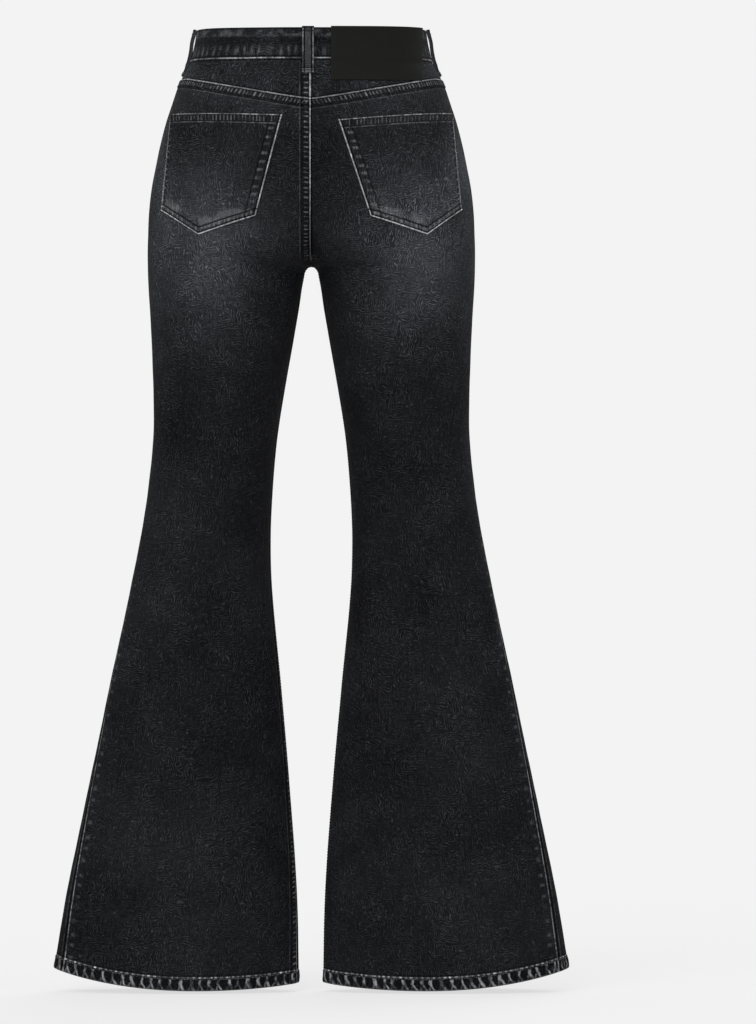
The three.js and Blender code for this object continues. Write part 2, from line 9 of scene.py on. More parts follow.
import bmesh
import bpy
import numpy as np
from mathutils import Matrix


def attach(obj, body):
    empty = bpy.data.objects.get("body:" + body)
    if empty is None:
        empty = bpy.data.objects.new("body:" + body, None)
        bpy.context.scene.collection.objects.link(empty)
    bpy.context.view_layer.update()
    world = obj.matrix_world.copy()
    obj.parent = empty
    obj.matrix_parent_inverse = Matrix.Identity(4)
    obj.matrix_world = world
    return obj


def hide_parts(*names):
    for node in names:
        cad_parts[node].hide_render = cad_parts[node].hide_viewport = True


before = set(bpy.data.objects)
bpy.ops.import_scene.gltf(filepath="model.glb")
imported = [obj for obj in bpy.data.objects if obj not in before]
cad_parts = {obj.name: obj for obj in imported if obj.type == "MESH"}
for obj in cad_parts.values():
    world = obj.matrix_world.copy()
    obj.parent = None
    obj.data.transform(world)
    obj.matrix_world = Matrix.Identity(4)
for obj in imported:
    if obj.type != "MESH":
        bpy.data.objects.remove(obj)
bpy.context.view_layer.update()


# The studio. A plain pale floor runs out into a backdrop of the same grey, under broad soft
# light from both sides of the garment. The camera stands level behind the jeans.

BACKDROP_GREY = 0.896
FLOOR_Z = -1.102
FLOOR_RADIUS = 60.0
CAMERA_AT = (-0.0765, 8.0, -0.5513)
VIEW_HEIGHT = 1.1776
SENSOR = 36
SUN_TILT = 48
SUN_SPREAD = 40
SUN_STRENGTH = 1.5


class Socket:
    """A socket of a material's node tree. Arithmetic on it adds Math nodes to the tree."""

    def __init__(self, tree, link=None):
        self.tree = tree
        self.link = link

    def node(self, kind, settings=None, sockets=None, output=0):
        """Adds any node: its settings first, then its sockets' values or links."""
        made = self.tree.nodes.new(kind)
        for name, value in (settings or {}).items():
            setattr(made, name, value)
        for name, value in (sockets or {}).items():
            if isinstance(value, Socket):
                self.tree.links.new(value.link, made.inputs[name])
            else:
                made.inputs[name].default_value = value
        return Socket(self.tree, made.outputs[output] if made.outputs else None)

    def math(self, operation, *others):
        return self.node("ShaderNodeMath", {"operation": operation}, dict(enumerate((self,) + others)))

    def __add__(self, other):
        return self.math("ADD", other)

    def __sub__(self, other):
        return self.math("SUBTRACT", other)

    def __rsub__(self, other):
        return self.math("MULTIPLY", -1.0) + other

    def __mul__(self, other):
        return self.math("MULTIPLY", other)

    def __truediv__(self, other):
        return self.math("DIVIDE", other)

    def __abs__(self):
        return self.math("ABSOLUTE")

    __radd__ = __add__
    __rmul__ = __mul__

    def sine(self):
        return self.math("SINE")

    def soft(self, low, high):
        """0 below low, 1 above high, and a smooth step between them."""
        sockets = {"Value": self, "From Min": low, "From Max": high}
        return self.node("ShaderNodeMapRange", {"interpolation_type": "SMOOTHSTEP"}, sockets)

    def stretched(self, x, y, z):
        """The vector with its parts multiplied by x, y and z."""
        return self.node("ShaderNodeVectorMath", {"operation": "MULTIPLY"}, {0: self, 1: (x, y, z)})

    def noise(self, scale, detail=0.0):
        """Smooth noise about 0.5 at the place given by the vector."""
        return self.node("ShaderNodeTexNoise", {}, {"Vector": self, "Scale": scale, "Detail": detail})

    def attribute(self, name, output=1):
        """One of a mesh's own attributes: its vector, or its value with output 2."""
        return self.node("ShaderNodeAttribute", {"attribute_name": name}, output=output)

    def tinting(self, colour):
        """A colour multiplied by this value."""
        return self.node("ShaderNodeVectorMath", {"operation": "SCALE"}, {0: colour, "Scale": self})

    def parts(self):
        """The three parts of a vector."""
        first = self.node("ShaderNodeSeparateXYZ", {}, {"Vector": self})
        return [Socket(self.tree, output) for output in first.link.node.outputs]


def new_material(name):
    """An empty material and a first Socket of its node tree."""
    material = bpy.data.materials.new(name)
    material.use_nodes = True
    material.node_tree.nodes.clear()
    return material, Socket(material.node_tree)


def studio_floor_finish():
    """Matt pale grey near the jeans, and plain backdrop grey further out."""
    material, start = new_material("studio_floor")
    place = start.node("ShaderNodeTexCoord", output=3)
    distance = place.node("ShaderNodeVectorMath", {"operation": "LENGTH"}, {0: place}, output=1)
    grey = (BACKDROP_GREY, BACKDROP_GREY, BACKDROP_GREY, 1)
    matt = start.node("ShaderNodeBsdfDiffuse", {}, {"Color": (0.585, 0.585, 0.585, 1)})
    plain = start.node("ShaderNodeEmission", {}, {"Color": grey, "Strength": 1.0})
    share = 0.75 + 0.25 * distance.soft(1.6, 3.4)
    both = start.node("ShaderNodeMixShader", {}, {0: share, 1: matt, 2: plain})
    start.node("ShaderNodeOutputMaterial", {}, {"Surface": both})
    return material


def studio_floor():
    """A flat disc: radius r and angle a on a grid, x = r cos a, y = r sin a."""
    rings = np.array([0.0, 1.0, 2.0, 4.0, 10.0, FLOOR_RADIUS])[:, None]
    turns = np.radians(np.arange(0, 360, 6))[None, :]
    x, y = rings * np.cos(turns), rings * np.sin(turns)
    points = np.stack([x, y, np.full_like(x, FLOOR_Z)], axis=-1).reshape(-1, 3)
    count = turns.shape[1]
    ring, turn = np.meshgrid(np.arange(len(rings) - 1), np.arange(count), indexing="ij")
    onwards = (turn + 1) % count
    corners = [ring * count + turn, (ring + 1) * count + turn, (ring + 1) * count + onwards]
    corners.append(ring * count + onwards)
    mesh = bpy.data.meshes.new("studio_floor")
    mesh.from_pydata(points.tolist(), [], np.stack(corners, axis=-1).reshape(-1, 4).tolist())
    mesh.materials.append(studio_floor_finish())
    floor = bpy.data.objects.new("studio_floor", mesh)
    bpy.context.scene.collection.objects.link(floor)


def soft_sun(name, azimuth):
    """A broad soft sun that shines down on the jeans from one side."""
    sun = bpy.data.lights.new(name, "SUN")
    sun.energy = SUN_STRENGTH
    sun.angle = math.radians(SUN_SPREAD)
    lamp = bpy.data.objects.new(name, sun)
    lamp.rotation_euler = (math.radians(SUN_TILT), 0, math.radians(azimuth))
    bpy.context.scene.collection.objects.link(lamp)


studio_floor()
soft_sun("sun_behind", 160)
soft_sun("sun_before", -20)

world = bpy.data.worlds.new("backdrop")
world.use_nodes = True
world.node_tree.nodes["Background"].inputs["Color"].default_value = (BACKDROP_GREY,) * 3 + (1,)
bpy.context.scene.world = world
bpy.context.scene.view_settings.view_transform = "Standard"

camera = bpy.data.objects.new("camera", bpy.data.cameras.new("camera"))
camera.location = CAMERA_AT
camera.rotation_euler = (math.radians(90), 0, math.radians(180))
camera.data.sensor_width = SENSOR
camera.data.lens = SENSOR * CAMERA_AT[1] / VIEW_HEIGHT
camera.data.clip_end = 200
bpy.context.scene.collection.objects.link(camera)
bpy.context.scene.camera = camera


# The back panels. Each is one piece of washed black denim from the yoke seam to the hem. Its
# top edge is folded and felled over the yoke, its inner edge over the front along the inseam.

DENIM = 1.5
SEAM_GAP = 0.3
CROTCH_Z = -269.5
SIDE_CROTCH_Z = -262
FRONT_RISE_BEND = -170
BACK_RISE_BEND = -150
CENTRE_BACK_HOLLOW = 4
CROTCH_ARCH = 9
FRONT_DIP = 10
SIDE_LIFT = 2
DIP_END = -160
BAND_HEIGHT = 36
YOKE_CENTRE_Z = -81.5
YOKE_SIDE_Z = -57
YOKE_HALF_WIDTH = 150
HEM_Z = -1099
HEM_OUTER_RISE = 24
HEM_INNER_RISE = 7
HEM_LOWEST = 0.4
HEM_HEIGHT = 15
HEM_WALL = 3.4
ROPE_PITCH = 11.2
ROPE_LEAN = 0.6
ROPE_BEND = 8.0
FELL_WIDTH = 9.2
FELL_RISE = 0.8
STITCH_ROWS = (1.7, 7.6)
HEM_STITCH = 13.4
HANDS = {"left": 1, "right": -1}
FRONT, BACK = -1, 1

# Half outline by height: the leg's outer and inner edge seen from the front, its front and
# back depth seen from the side, and how far out the front and back stand fullest
OUTLINE_COLUMNS = ("z", "outer", "inner", "front", "back", "apex_front", "apex_back")
OUTLINE = dict(zip(OUTLINE_COLUMNS, np.array([
    (4, 130.5, 7, 94, 92, 14, 14),
    (-20, 134.5, 7, 97, 95, 15, 22),
    (-38, 139.5, 7, 99, 98, 17, 30),
    (-57, 150, 7, 101, 102, 20, 40),
    (-77, 157.5, 7, 103, 107, 23, 50),
    (-112, 169, 7, 105, 114, 32, 63),
    (-146, 177, 7, 105, 120, 46, 73),
    (-192, 185, 7, 103, 123, 68, 83),
    (-238, 188, 7, 98, 117, 87, 92),
    (-273, 188, 7.6, 94, 105, 97, 98),
    (-296, 186.9, 11.5, 91, 98, 99, 99),
    (-353, 184, 21.3, 85, 86, 102, 102),
    (-411, 181.7, 31.6, 78, 76, 106, 106),
    (-468, 182, 40.3, 70, 67, 111, 111),
    (-526, 188, 45.4, 63, 61, 117, 117),
    (-583, 197.2, 47.7, 60, 60, 122, 122),
    (-641, 208.7, 46, 58, 60, 127, 127),
    (-756, 232.9, 35, 56, 60, 134, 134),
    (-871, 257, 24.7, 53, 58, 141, 141),
    (-986, 280.6, 16.7, 50, 56, 149, 149),
    (-1110, 302, 14, 47, 54, 158, 158),
], dtype=float).T))

# Where the outseams and inseams run, in degrees round the leg
SEAM_COLUMNS = ("z", "left_out", "right_out", "left_in", "right_in")
SEAMS = dict(zip(SEAM_COLUMNS, np.array([
    (10, 178, 178, 0, 0),
    (-270, 177, 178, 0, 0),
    (-420, 176, 178, 4, 5),
    (-600, 178, 183, 2, 6),
    (-760, 188, 190, -2, 7),
    (-1110, 203, 203, -12, 8),
], dtype=float).T))

# The largest folds, soft troughs on lines across both legs: face, x1, z1, x2, z2, half width
# and depth
FOLDS = (
    (FRONT, 30, -292, 150, -322, 13, 2.2),
    (FRONT, 70, -352, 165, -338, 15, 1.6),
    (FRONT, 60, -492, 150, -512, 14, 2.0),
    (FRONT, 85, -560, 170, -535, 15, 1.7),
    (BACK, 12, -238, 120, -205, 12, 2.2),
    (BACK, 30, -278, 140, -258, 13, 1.8),
    (BACK, 62, -520, 158, -500, 15, 1.8),
)


def mix(a, b, t):
    """a at t = 0 and b at t = 1."""
    return a + (b - a) * t


def ease(t):
    """Smooth step 3t^2 - 2t^3, with t held between 0 and 1."""
    c = np.clip(t, 0, 1)
    return c * c * (3 - 2 * c)


def bell(x, half):
    """A smooth bump: e to the power of minus (x / half) squared."""
    return np.exp(-((x / half) ** 2))


def through(table, name, z):
    """A table's column at heights z: a cubic whose slope at each row joins its neighbours."""
    at, value = table["z"], table[name]
    row = np.arange(len(at))
    before, after = np.maximum(row - 1, 0), np.minimum(row + 1, len(at) - 1)
    slope = (value[after] - value[before]) / (at[after] - at[before])
    i = np.clip(np.searchsorted(-at, -np.asarray(z, float)) - 1, 0, len(at) - 2)
    h = at[i + 1] - at[i]
    t = np.clip((z - at[i]) / h, 0, 1)
    lead = t * (1 - t) ** 2 * h * slope[i]
    trail = t**2 * (t - 1) * h * slope[i + 1]
    return mix(value[i], value[i + 1], t * t * (3 - 2 * t)) + lead + trail


def centre_back_depth(z):
    """The back's depth on the centre line, a little hollow between the seats."""
    return through(OUTLINE, "back", z) - CENTRE_BACK_HOLLOW * ease((-40 - z) / 110)


def rise_depth(z, bend, depth_at):
    """The rise seam: depth_at(z) above the bend, and a quarter ellipse under to the crotch."""
    q = np.clip((bend - z) / (bend - CROTCH_Z), 0, 1)
    return np.where(z >= bend, depth_at(z), depth_at(np.full_like(z, bend)) * np.sqrt(1 - q * q))


def section_point(angle, z):
    """x and y of the cloth at an angle round the leg: 0 inner edge, 90 front, 180 outer, 270 back.

    Outer quarters are superellipses from the apex to the outer edge. Inner quarters go from the
    apex to the centre line, straight near the waist and as quarter ellipses from the seat down.
    """
    z = np.asarray(z, float)
    outer, front, back = (through(OUTLINE, name, z) for name in ("outer", "front", "back"))
    pinch = ease((-130 - z) / 120)
    drop = np.maximum(CROTCH_Z - z, 0)
    arch = np.sqrt(1 - (1 - np.minimum(drop / CROTCH_ARCH, 1)) ** 2)
    middle = (back - front) / 2 * ease(drop / 120)
    above = z > CROTCH_Z
    half_gap = SEAM_GAP / 2
    inner = np.where(above, half_gap * pinch, np.maximum(through(OUTLINE, "inner", z) * arch, half_gap))
    front_rise = rise_depth(z, FRONT_RISE_BEND, lambda at: through(OUTLINE, "front", at))
    back_rise = rise_depth(z, BACK_RISE_BEND, centre_back_depth)
    square = 2 / mix(2.3, 2, ease(-z / 300))
    round_leg = np.where(above, angle, np.mod(angle, 360))
    to_front = round_leg <= 180
    apex_x = np.where(to_front, through(OUTLINE, "apex_front", z), through(OUTLINE, "apex_back", z))
    apex_y = np.where(to_front, -front, back)
    end_y = np.where(above, np.where(to_front, -front_rise, back_rise), middle)
    from_apex = np.where(to_front, round_leg - 90, 270 - round_leg)
    turn = np.radians(np.abs(from_apex))
    sine, cosine = np.sin(turn), np.maximum(np.cos(turn), 0)
    q = np.minimum(mix(turn / (np.pi / 2), sine, pinch), 1)
    outwards = from_apex >= 0
    inner_y = mix(end_y, apex_y, (1 - q * q) ** (1 / mix(0.6, 2, pinch)))
    x = np.where(outwards, mix(apex_x, outer, sine**square), mix(apex_x, inner, q))
    y = np.where(outwards, mix((back - front) / 2, apex_y, cosine**square), inner_y)
    return x, y


def fold_depth(x, y, z):
    """How deep the folds press the cloth in: a bell across each fold, fading at its ends."""
    total = np.zeros(np.broadcast(x, z).shape)
    for face, x1, z1, x2, z2, half, depth in FOLDS:
        dx, dz = x2 - x1, z2 - z1
        along = ((x - x1) * dx + (z - z1) * dz) / (dx * dx + dz * dz)
        across = ((x - x1) * dz - (z - z1) * dx) / math.hypot(dx, dz)
        fade = ease(1.25 - np.abs(2 * along - 1))
        total = total + depth * fade * ease(y * face / 40) * bell(across, half)
    return total


def cloth(angle, z):
    """Points of the cloth's outer face in the left half, with the waist's dip and the folds."""
    x, y = section_point(angle, z)
    high = ease((z - DIP_END) / -DIP_END)
    lift = high * (SIDE_LIFT * np.maximum(1 - (y / 90) ** 2, 0) - FRONT_DIP * ease(-y / 90))
    fold = fold_depth(x, y, z)
    return np.stack(np.broadcast_arrays(x, y - np.sign(y) * fold, z + lift), axis=-1)


def unit(vectors):
    """Vectors scaled to a length of 1."""
    return vectors / np.linalg.norm(vectors, axis=-1, keepdims=True)


def cloth_normal(angle, z):
    """Outward normal: the cross product of the steps down and round the cloth."""
    down = cloth(angle, z - 1) - cloth(angle, z + 1)
    return unit(np.cross(down, cloth(angle + 1, z) - cloth(angle - 1, z)))


def walk(start, end, z, steps=48):
    """Angles in equal steps from start to end, and the length of cloth up to each of them."""
    share = np.linspace(0, 1, steps + 1)
    angle = start[..., None] + (end - start)[..., None] * share
    x, y = section_point(angle, z[..., None])
    stride = np.hypot(np.diff(x, axis=-1), np.diff(y, axis=-1))
    return angle, np.concatenate([np.zeros_like(stride[..., :1]), np.cumsum(stride, axis=-1)], axis=-1)


def angle_walked(start, end, z, fixed, share):
    """The angle after fixed millimetres plus a share of the whole way from start to end."""
    angle, length = walk(start, end, z)
    distance = np.clip(fixed + share * length[..., -1], 0, length[..., -1])
    i = np.clip(np.sum(length <= distance[..., None], axis=-1) - 1, 0, length.shape[-1] - 2)[..., None]
    low, high = np.take_along_axis(length, i, -1), np.take_along_axis(length, i + 1, -1)
    t = (distance[..., None] - low) / np.maximum(high - low, 1e-9)
    return mix(np.take_along_axis(angle, i, -1), np.take_along_axis(angle, i + 1, -1), t)[..., 0]


def angle_at_x(x, z, face):
    """The angle on the front or back where the cloth is x out from the middle, by halving."""
    x, z = np.broadcast_arrays(np.asarray(x, float), np.asarray(z, float))
    near = np.full(x.shape, 0.0 if face == FRONT else 360.0)
    far = np.full(x.shape, 180.0)
    for _ in range(30):
        middle = (near + far) / 2
        short = section_point(middle, z)[0] < x
        near, far = np.where(short, middle, near), np.where(short, far, middle)
    return (near + far) / 2


def hem_height(x):
    """Height of the hem across the leg, lowest a little inside its middle."""
    inner, outer = (through(OUTLINE, name, HEM_Z) for name in ("inner", "outer"))
    t = (x - inner) / (outer - inner)
    out = np.maximum((t - HEM_LOWEST) / (1 - HEM_LOWEST), 0)
    into = np.maximum((HEM_LOWEST - t) / HEM_LOWEST, 0)
    return HEM_Z + HEM_OUTER_RISE * out**2.1 + HEM_INNER_RISE * into**2


# Rows down a panel: close together at its top edge and at its hem, where the folds are
EDGE_STEPS = np.array([0, 0.35, 0.9, 1.6, 2.4, 3.4, 4.6, 5.8, 7, 7.8, 8.4, 8.9, 9.4, 10, 11.4, 13.6])
RISE_LENGTH = 185
RISE_SHARES = EDGE_STEPS / RISE_LENGTH
RISE_SHARES = np.concatenate([RISE_SHARES[:-1], np.linspace(RISE_SHARES[-1], 1, 62)])
LEG_SHARES = np.linspace(0, 1, 187)[1:]
HEM_STEPS = np.array([
    17, 16.2, 15.5, 15, 14.5, 13.8, 12.8, 11.4, 10, 8.6, 7.2, 5.8, 4.4, 3.2, 2.2, 1.4, 0.8, 0.35, 0,
])


def rise_height(t, top):
    """Height on the rise seam: straight down to the bend, then round a quarter turn."""
    straight = 0.42
    turn = (t - straight) / (1 - straight) * (np.pi / 2)
    level = mix(top, BACK_RISE_BEND, np.minimum(t / straight, 1))
    return np.where(t < straight, level, mix(BACK_RISE_BEND, CROTCH_Z, np.sin(np.maximum(turn, 0))))


def panel_heights(out, top, hem):
    """Heights of a panel's rows for columns that lie a share out from the inner edge."""
    outer = ease(out * 1.1)
    t = RISE_SHARES[:, None]
    rise = mix(rise_height(t, top), mix(top, SIDE_CROTCH_Z, t), outer)
    t = LEG_SHARES[:, None]
    slow = t * (1 - np.exp(-4.5 * t)) / (1 - math.exp(-4.5))
    start = mix(CROTCH_Z, SIDE_CROTCH_Z, outer)
    leg = mix(start, hem + HEM_STEPS[0] + 1, mix(slow, t, ease(out * 1.3)))
    return np.concatenate([rise, leg, hem + HEM_STEPS[:, None]], axis=0)


def edge_columns(middle):
    """Columns close together at both edges: each is fixed millimetres plus a share of the way."""
    steps = EDGE_STEPS
    fixed = np.concatenate([steps, steps[-1] * (1 - 2 * middle), -steps[::-1]])
    share = np.concatenate([np.zeros(len(steps)), middle, np.ones(len(steps))])
    return fixed, share


def run_length(points, axis):
    """Millimetres of cloth from the first row or column to each point of a grid."""
    stride = np.linalg.norm(np.diff(points, axis=axis), axis=-1)
    first = np.zeros_like(np.take(stride, [0], axis=axis))
    return np.concatenate([first, np.cumsum(stride, axis=axis)], axis=axis)


def cloth_grid(angle, z):
    """Points and normals of a grid of cloth, and the millimetres round and down to each point."""
    base = cloth(angle, z)
    return base, cloth_normal(angle, z), run_length(base, 1), run_length(base, 0)


def seamed(points, middle=0, rise=0, reach=0.35):
    """A grid whose side columns and top row reach on along the cloth, to close its seams.

    In the rise rows the middle column reaches across the centre line, as the cloth turns in there.
    """
    points = points.copy()
    points[:, 0] += unit(points[:, 0] - points[:, 2]) * reach
    points[:, -1] += unit(points[:, -1] - points[:, -3]) * reach
    points[0] += unit(points[0] - points[2]) * reach
    points[:rise, middle, 0] = np.minimum(points[:rise, middle, 0], -0.1)
    return points


def slack(points):
    """Slight unevenness of worn cloth: four crossing waves 0.1 to 0.25 mm high."""
    x, y, z = points[..., 0], points[..., 1], points[..., 2]
    slow = 0.25 * np.sin(x / 17 + z / 41) * np.sin(z / 29 - x / 53 + y / 31)
    quick = 0.12 * np.sin(x / 7.3 - z / 19 + 1.3) * np.sin(z / 11 + y / 13)
    return slow + quick


def round_edge(distance, radius):
    """How far a rounded edge has fallen: r minus the root of r^2 - (r - d)^2."""
    short = np.clip(radius - distance, 0, radius)
    return radius - np.sqrt(radius**2 - short**2)


def wall_faces(rows, columns):
    """Corner numbers of a closed wall between two grids, outer first, rows down and columns round."""
    r, c = np.meshgrid(np.arange(rows - 1), np.arange(columns - 1), indexing="ij")
    near, under = r * columns + c, (r + 1) * columns + c
    outer = np.stack([near, under, under + 1, near + 1], axis=-1).reshape(-1, 4)
    inner = outer[:, ::-1] + rows * columns
    c = np.arange(columns - 1)
    low = (rows - 1) * columns + c
    other = rows * columns
    top = np.stack([c, c + 1, c + 1 + other, c + other], axis=-1)
    bottom = np.stack([low, low + other, low + 1 + other, low + 1], axis=-1)
    first = np.arange(rows - 1) * columns
    last = first + columns - 1
    start = np.stack([first, first + other, first + columns + other, first + columns], axis=-1)
    end = np.stack([last, last + columns, last + columns + other, last + other], axis=-1)
    return np.concatenate([outer, inner, top, bottom, start, end])


def new_piece(name, mesh, finish, sharp=180):
    """A smooth piece of the jeans, creased where its faces turn by more than the sharp angle."""
    mesh.materials.append(finish)
    mesh.shade_smooth()
    if sharp < 180:
        mesh.set_sharp_from_angle(angle=math.radians(sharp))
    piece = bpy.data.objects.new(name, mesh)
    bpy.context.scene.collection.objects.link(piece)
    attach(piece, "root")
    return piece


def cloth_piece(name, outer, inner, hand, finish, **marks):
    """A closed cloth wall in place of the node it is named after: hand -1 mirrors it to the right.

    Each mark is three grids or numbers, which the finish reads as a vector by the mark's name.
    """
    rows, columns = outer.shape[:2]
    points = np.concatenate([outer.reshape(-1, 3), inner.reshape(-1, 3)])
    faces = wall_faces(rows, columns)
    mesh = bpy.data.meshes.new(name)
    mesh.from_pydata(points * (hand * 0.001, 0.001, 0.001), [], faces if hand > 0 else faces[:, ::-1])
    for label, grids in marks.items():
        grid = np.stack(np.broadcast_arrays(*grids, outer[..., 0])[:3], axis=-1).reshape(-1, 3)
        both = np.concatenate([grid, grid]).astype(float)
        mesh.attributes.new(label, "FLOAT_VECTOR", "POINT").data.foreach_set("vector", both.ravel())
    side = np.repeat([0.0, 1.0], rows * columns)
    mesh.attributes.new("reverse", "FLOAT", "POINT").data.foreach_set("value", side)
    piece = new_piece(name, mesh, finish, 50)
    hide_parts(name.rsplit("_", 1)[0])
    return piece


# Colour of the cloth
INK = 0.0088
TINT = (1.0, 1.05, 1.19)
BARE_TINT = (1.0, 1.01, 1.04)


def back_fade_and_sheen(x, z):
    """How pale the wash has left the back, as a reflectance: soft patches on dark cloth, and a pale
    patch of painted sheen at the outer side of the hip.
    """
    seat = 0.032 * np.exp(-(((x - 122) / 65) ** 2) - ((z + 246) / np.where(z < -246, 96, 78)) ** 2)
    hip = 0.012 * np.exp(-(((x - 80) / 90) ** 2) - ((z + 70) / 38) ** 2)
    # Painted sheen: the outer side of the hip, where the cloth turns away, is made paler in the colour.
    side = 0.018 * bell(x - 174, 20) * bell(z + 150, 60)
    shin = 0.0022 * bell(x - 165, 52) * ease((-420 - z) / 200)
    return INK + seat + hip + side + shin


def wear_lines(place, around, down):
    """Thin broken wavy lines 3 mm apart, upright in some patches and level in others."""
    swirl = place.noise(140, 1.0) * 22
    turned = place.noise(55, 1.0).soft(0.42, 0.58)
    upright = (around * 2.0 + swirl).sine().soft(0.15, 1.0)
    level = (down * 2.2 - swirl).sine().soft(0.15, 1.0)
    unbroken = 0.25 + 0.75 * place.noise(260, 1.0).soft(0.38, 0.6)
    return (upright * (1 - turned) + level * turned) * unbroken


def surfaced(material, start, sockets, relief):
    """A material ended with its shader and output: relief holds the Bump node's sockets."""
    bump = start.node("ShaderNodeBump", {}, relief)
    shader = start.node("ShaderNodeBsdfPrincipled", {}, {**sockets, "Normal": bump})
    start.node("ShaderNodeOutputMaterial", {}, {"Surface": shader})
    return material


def washed_denim(name, seams, reverse=0.07):
    """Worn black denim. seams(worn) gives how pale, dark and high a piece's seams are; on some pieces
    the dark holds painted shade along seam edges and under lapping cloth.

    The tone is the piece's fade, which on the back and the yoke holds painted sheen at the hip sides,
    times fine wavy worn lines, warp and weft slubs and mottling.
    """
    material, start = new_material(name)
    place = start.node("ShaderNodeTexCoord", output=3)
    run, inside = start.attribute("run"), start.attribute("reverse", 2)
    # The first part is the wash fade, with painted sheen at the hip sides on the back, the yoke and the
    # back pockets.
    fade, felled, depth = start.attribute("wear").parts()
    around, down = run.parts()[:2]
    patchy = place.noise(26, 2.0)
    lines = wear_lines(place, around, down)
    warp = run.stretched(0.62, 0.05, 0).noise(1.0, 1.0).soft(0.45, 0.72)
    weft = run.stretched(0.05, 0.55, 0).noise(1.0, 1.0).soft(0.5, 0.75)
    mottle = place.noise(11, 3.0) - 0.5
    grain = place.noise(900, 1.0) - 0.5
    speck = place.noise(330).soft(0.74, 0.8)
    twill = ((around + down * 0.8) * 8.5).sine()
    cloth_tone = 0.53 + lines * (0.5 + 0.5 * patchy.soft(0.35, 0.65)) * 2.2
    cloth_tone = cloth_tone + (warp + weft) * 0.25 + mottle * 1.1 + grain * 0.5 + twill * 0.14
    worn = {
        "run": run, "edges": start.attribute("edges"), "felled": felled, "depth": depth,
        "place": place,
    }
    pale, dark, height = seams(worn)
    # dark takes away stitch rows and puckers, and painted shade at seam edges and under lapping cloth.
    tone = (fade * cloth_tone + 0.012 * speck) * (1 - dark)
    tone = tone * (1 - inside) + inside * reverse * (0.8 + mottle + grain * 0.5)
    bare = pale * (1 - dark) * (1 - inside) * (0.7 + grain * 0.8 + warp * 0.5)
    both = {0: tone.tinting(TINT), 1: bare.tinting(BARE_TINT)}
    colour = start.node("ShaderNodeVectorMath", {"operation": "ADD"}, both)
    height = height + lines * 0.04 + (warp - weft) * 0.05 + grain * 0.05 + twill * 0.05
    sockets = {"Base Color": colour, "Roughness": 0.92, "Specular IOR Level": 0.04}
    return surfaced(material, start, sockets, {"Height": height, "Strength": 0.7, "Distance": 0.001})


def line_at(distance, at, half):
    """1 on a line at a distance from an edge, falling smoothly to 0 on both sides."""
    return 1 - abs(distance - at).soft(half * 0.4, half * 1.4)


def band(distance, low, high, blur=0.8):
    """1 between two distances from an edge."""
    return distance.soft(low - blur, low + blur) * (1 - distance.soft(high - blur, high + blur))


def puckers(along, place, pitch, sharp=0.2):
    """Bars across a seam every pitch millimetres, unevenly spaced and unevenly strong."""
    uneven = {"W": along, "Scale": 0.4 / pitch, "Detail": 1.0}
    wander = along.node("ShaderNodeTexNoise", {"noise_dimensions": "1D"}, uneven) * 5
    strength = place.noise(120, 1.0).soft(0.35, 0.65)
    return (along * (2 * math.pi / pitch) + wander).sine().soft(sharp, 1.0) * (0.2 + 0.8 * strength)


def rubbed(place, scale=190):
    """How strongly an edge is rubbed along its length: long waxing and waning, and short breaks."""
    slow = place.noise(26, 1.0).soft(0.3, 0.65)
    return (0.3 + 0.7 * slow) * (0.25 + 0.9 * place.noise(scale, 2.0).soft(0.36, 0.6))


def height_of(place):
    """Height in millimetres of a place in metres."""
    return place.parts()[2] * 1000


def felled_seam(distance, along, place, pitch, edge):
    """How pale, dark and high a felled seam is: a rubbed edge, bars between its rows, and painted shade
    in the ditch beside it.
    """
    between = band(distance, 2.4, 8.2)
    bars = between * puckers(along, place, pitch)
    edges = line_at(distance, 0.65, 0.8) * edge + line_at(distance, 12.2, 0.6) * 0.04
    pale = edges * (0.3 + 0.7 * rubbed(place)) + bars * 0.13
    rows = line_at(distance, 2.3, 0.7) + line_at(distance, 8.4, 0.7)
    # The line 10.3 mm out is painted shade in the ditch beside the seam's raised edge.
    dark = rows * 0.5 + line_at(distance, 10.3, 1.1) * 0.45 + between * (1 - bars) * 0.2
    return pale, dark, bars * 0.22


def roped_hem(worn):
    """How pale, dark and high a hem is: its bars fork at the bottom and lean one way all round."""
    out = worn["edges"].parts()[0]
    around, up = worn["run"].parts()[::2]
    place = worn["place"]
    lean = place.parts()[0].soft(-0.001, 0.001) * 2 - 1
    low = (ROPE_BEND - up).math("MAXIMUM", 0.0)
    along = around + (place.noise(150, 1.0) - 0.5) * 5
    bars = puckers(along - low * lean * ROPE_LEAN, place, ROPE_PITCH, 0.35)
    fork = puckers(along + low * lean * 0.3, place, ROPE_PITCH, 0.55) * low.soft(0.5, 3.0) * 0.5
    close = puckers(around, place, 4.2, 0.0) * (1 - out.soft(5, 9)) * 0.8
    rope = bars.math("MAXIMUM", fork).math("MAXIMUM", close) * band(up, 1.0, 12.8)
    dashes = puckers(around, place, 6.4, -0.6)
    pale = line_at(up, 15.4, 0.85) * (0.05 + 0.4 * dashes) + line_at(up, 0.6, 1.0) * 0.1
    dark = band(up, 0.8, 14) * (1 - rope) * 0.45 + line_at(up, 17.4, 1.2) * 0.4
    return pale * (0.25 + 0.75 * rubbed(place)) + rope * 0.24, dark, rope * 0.35


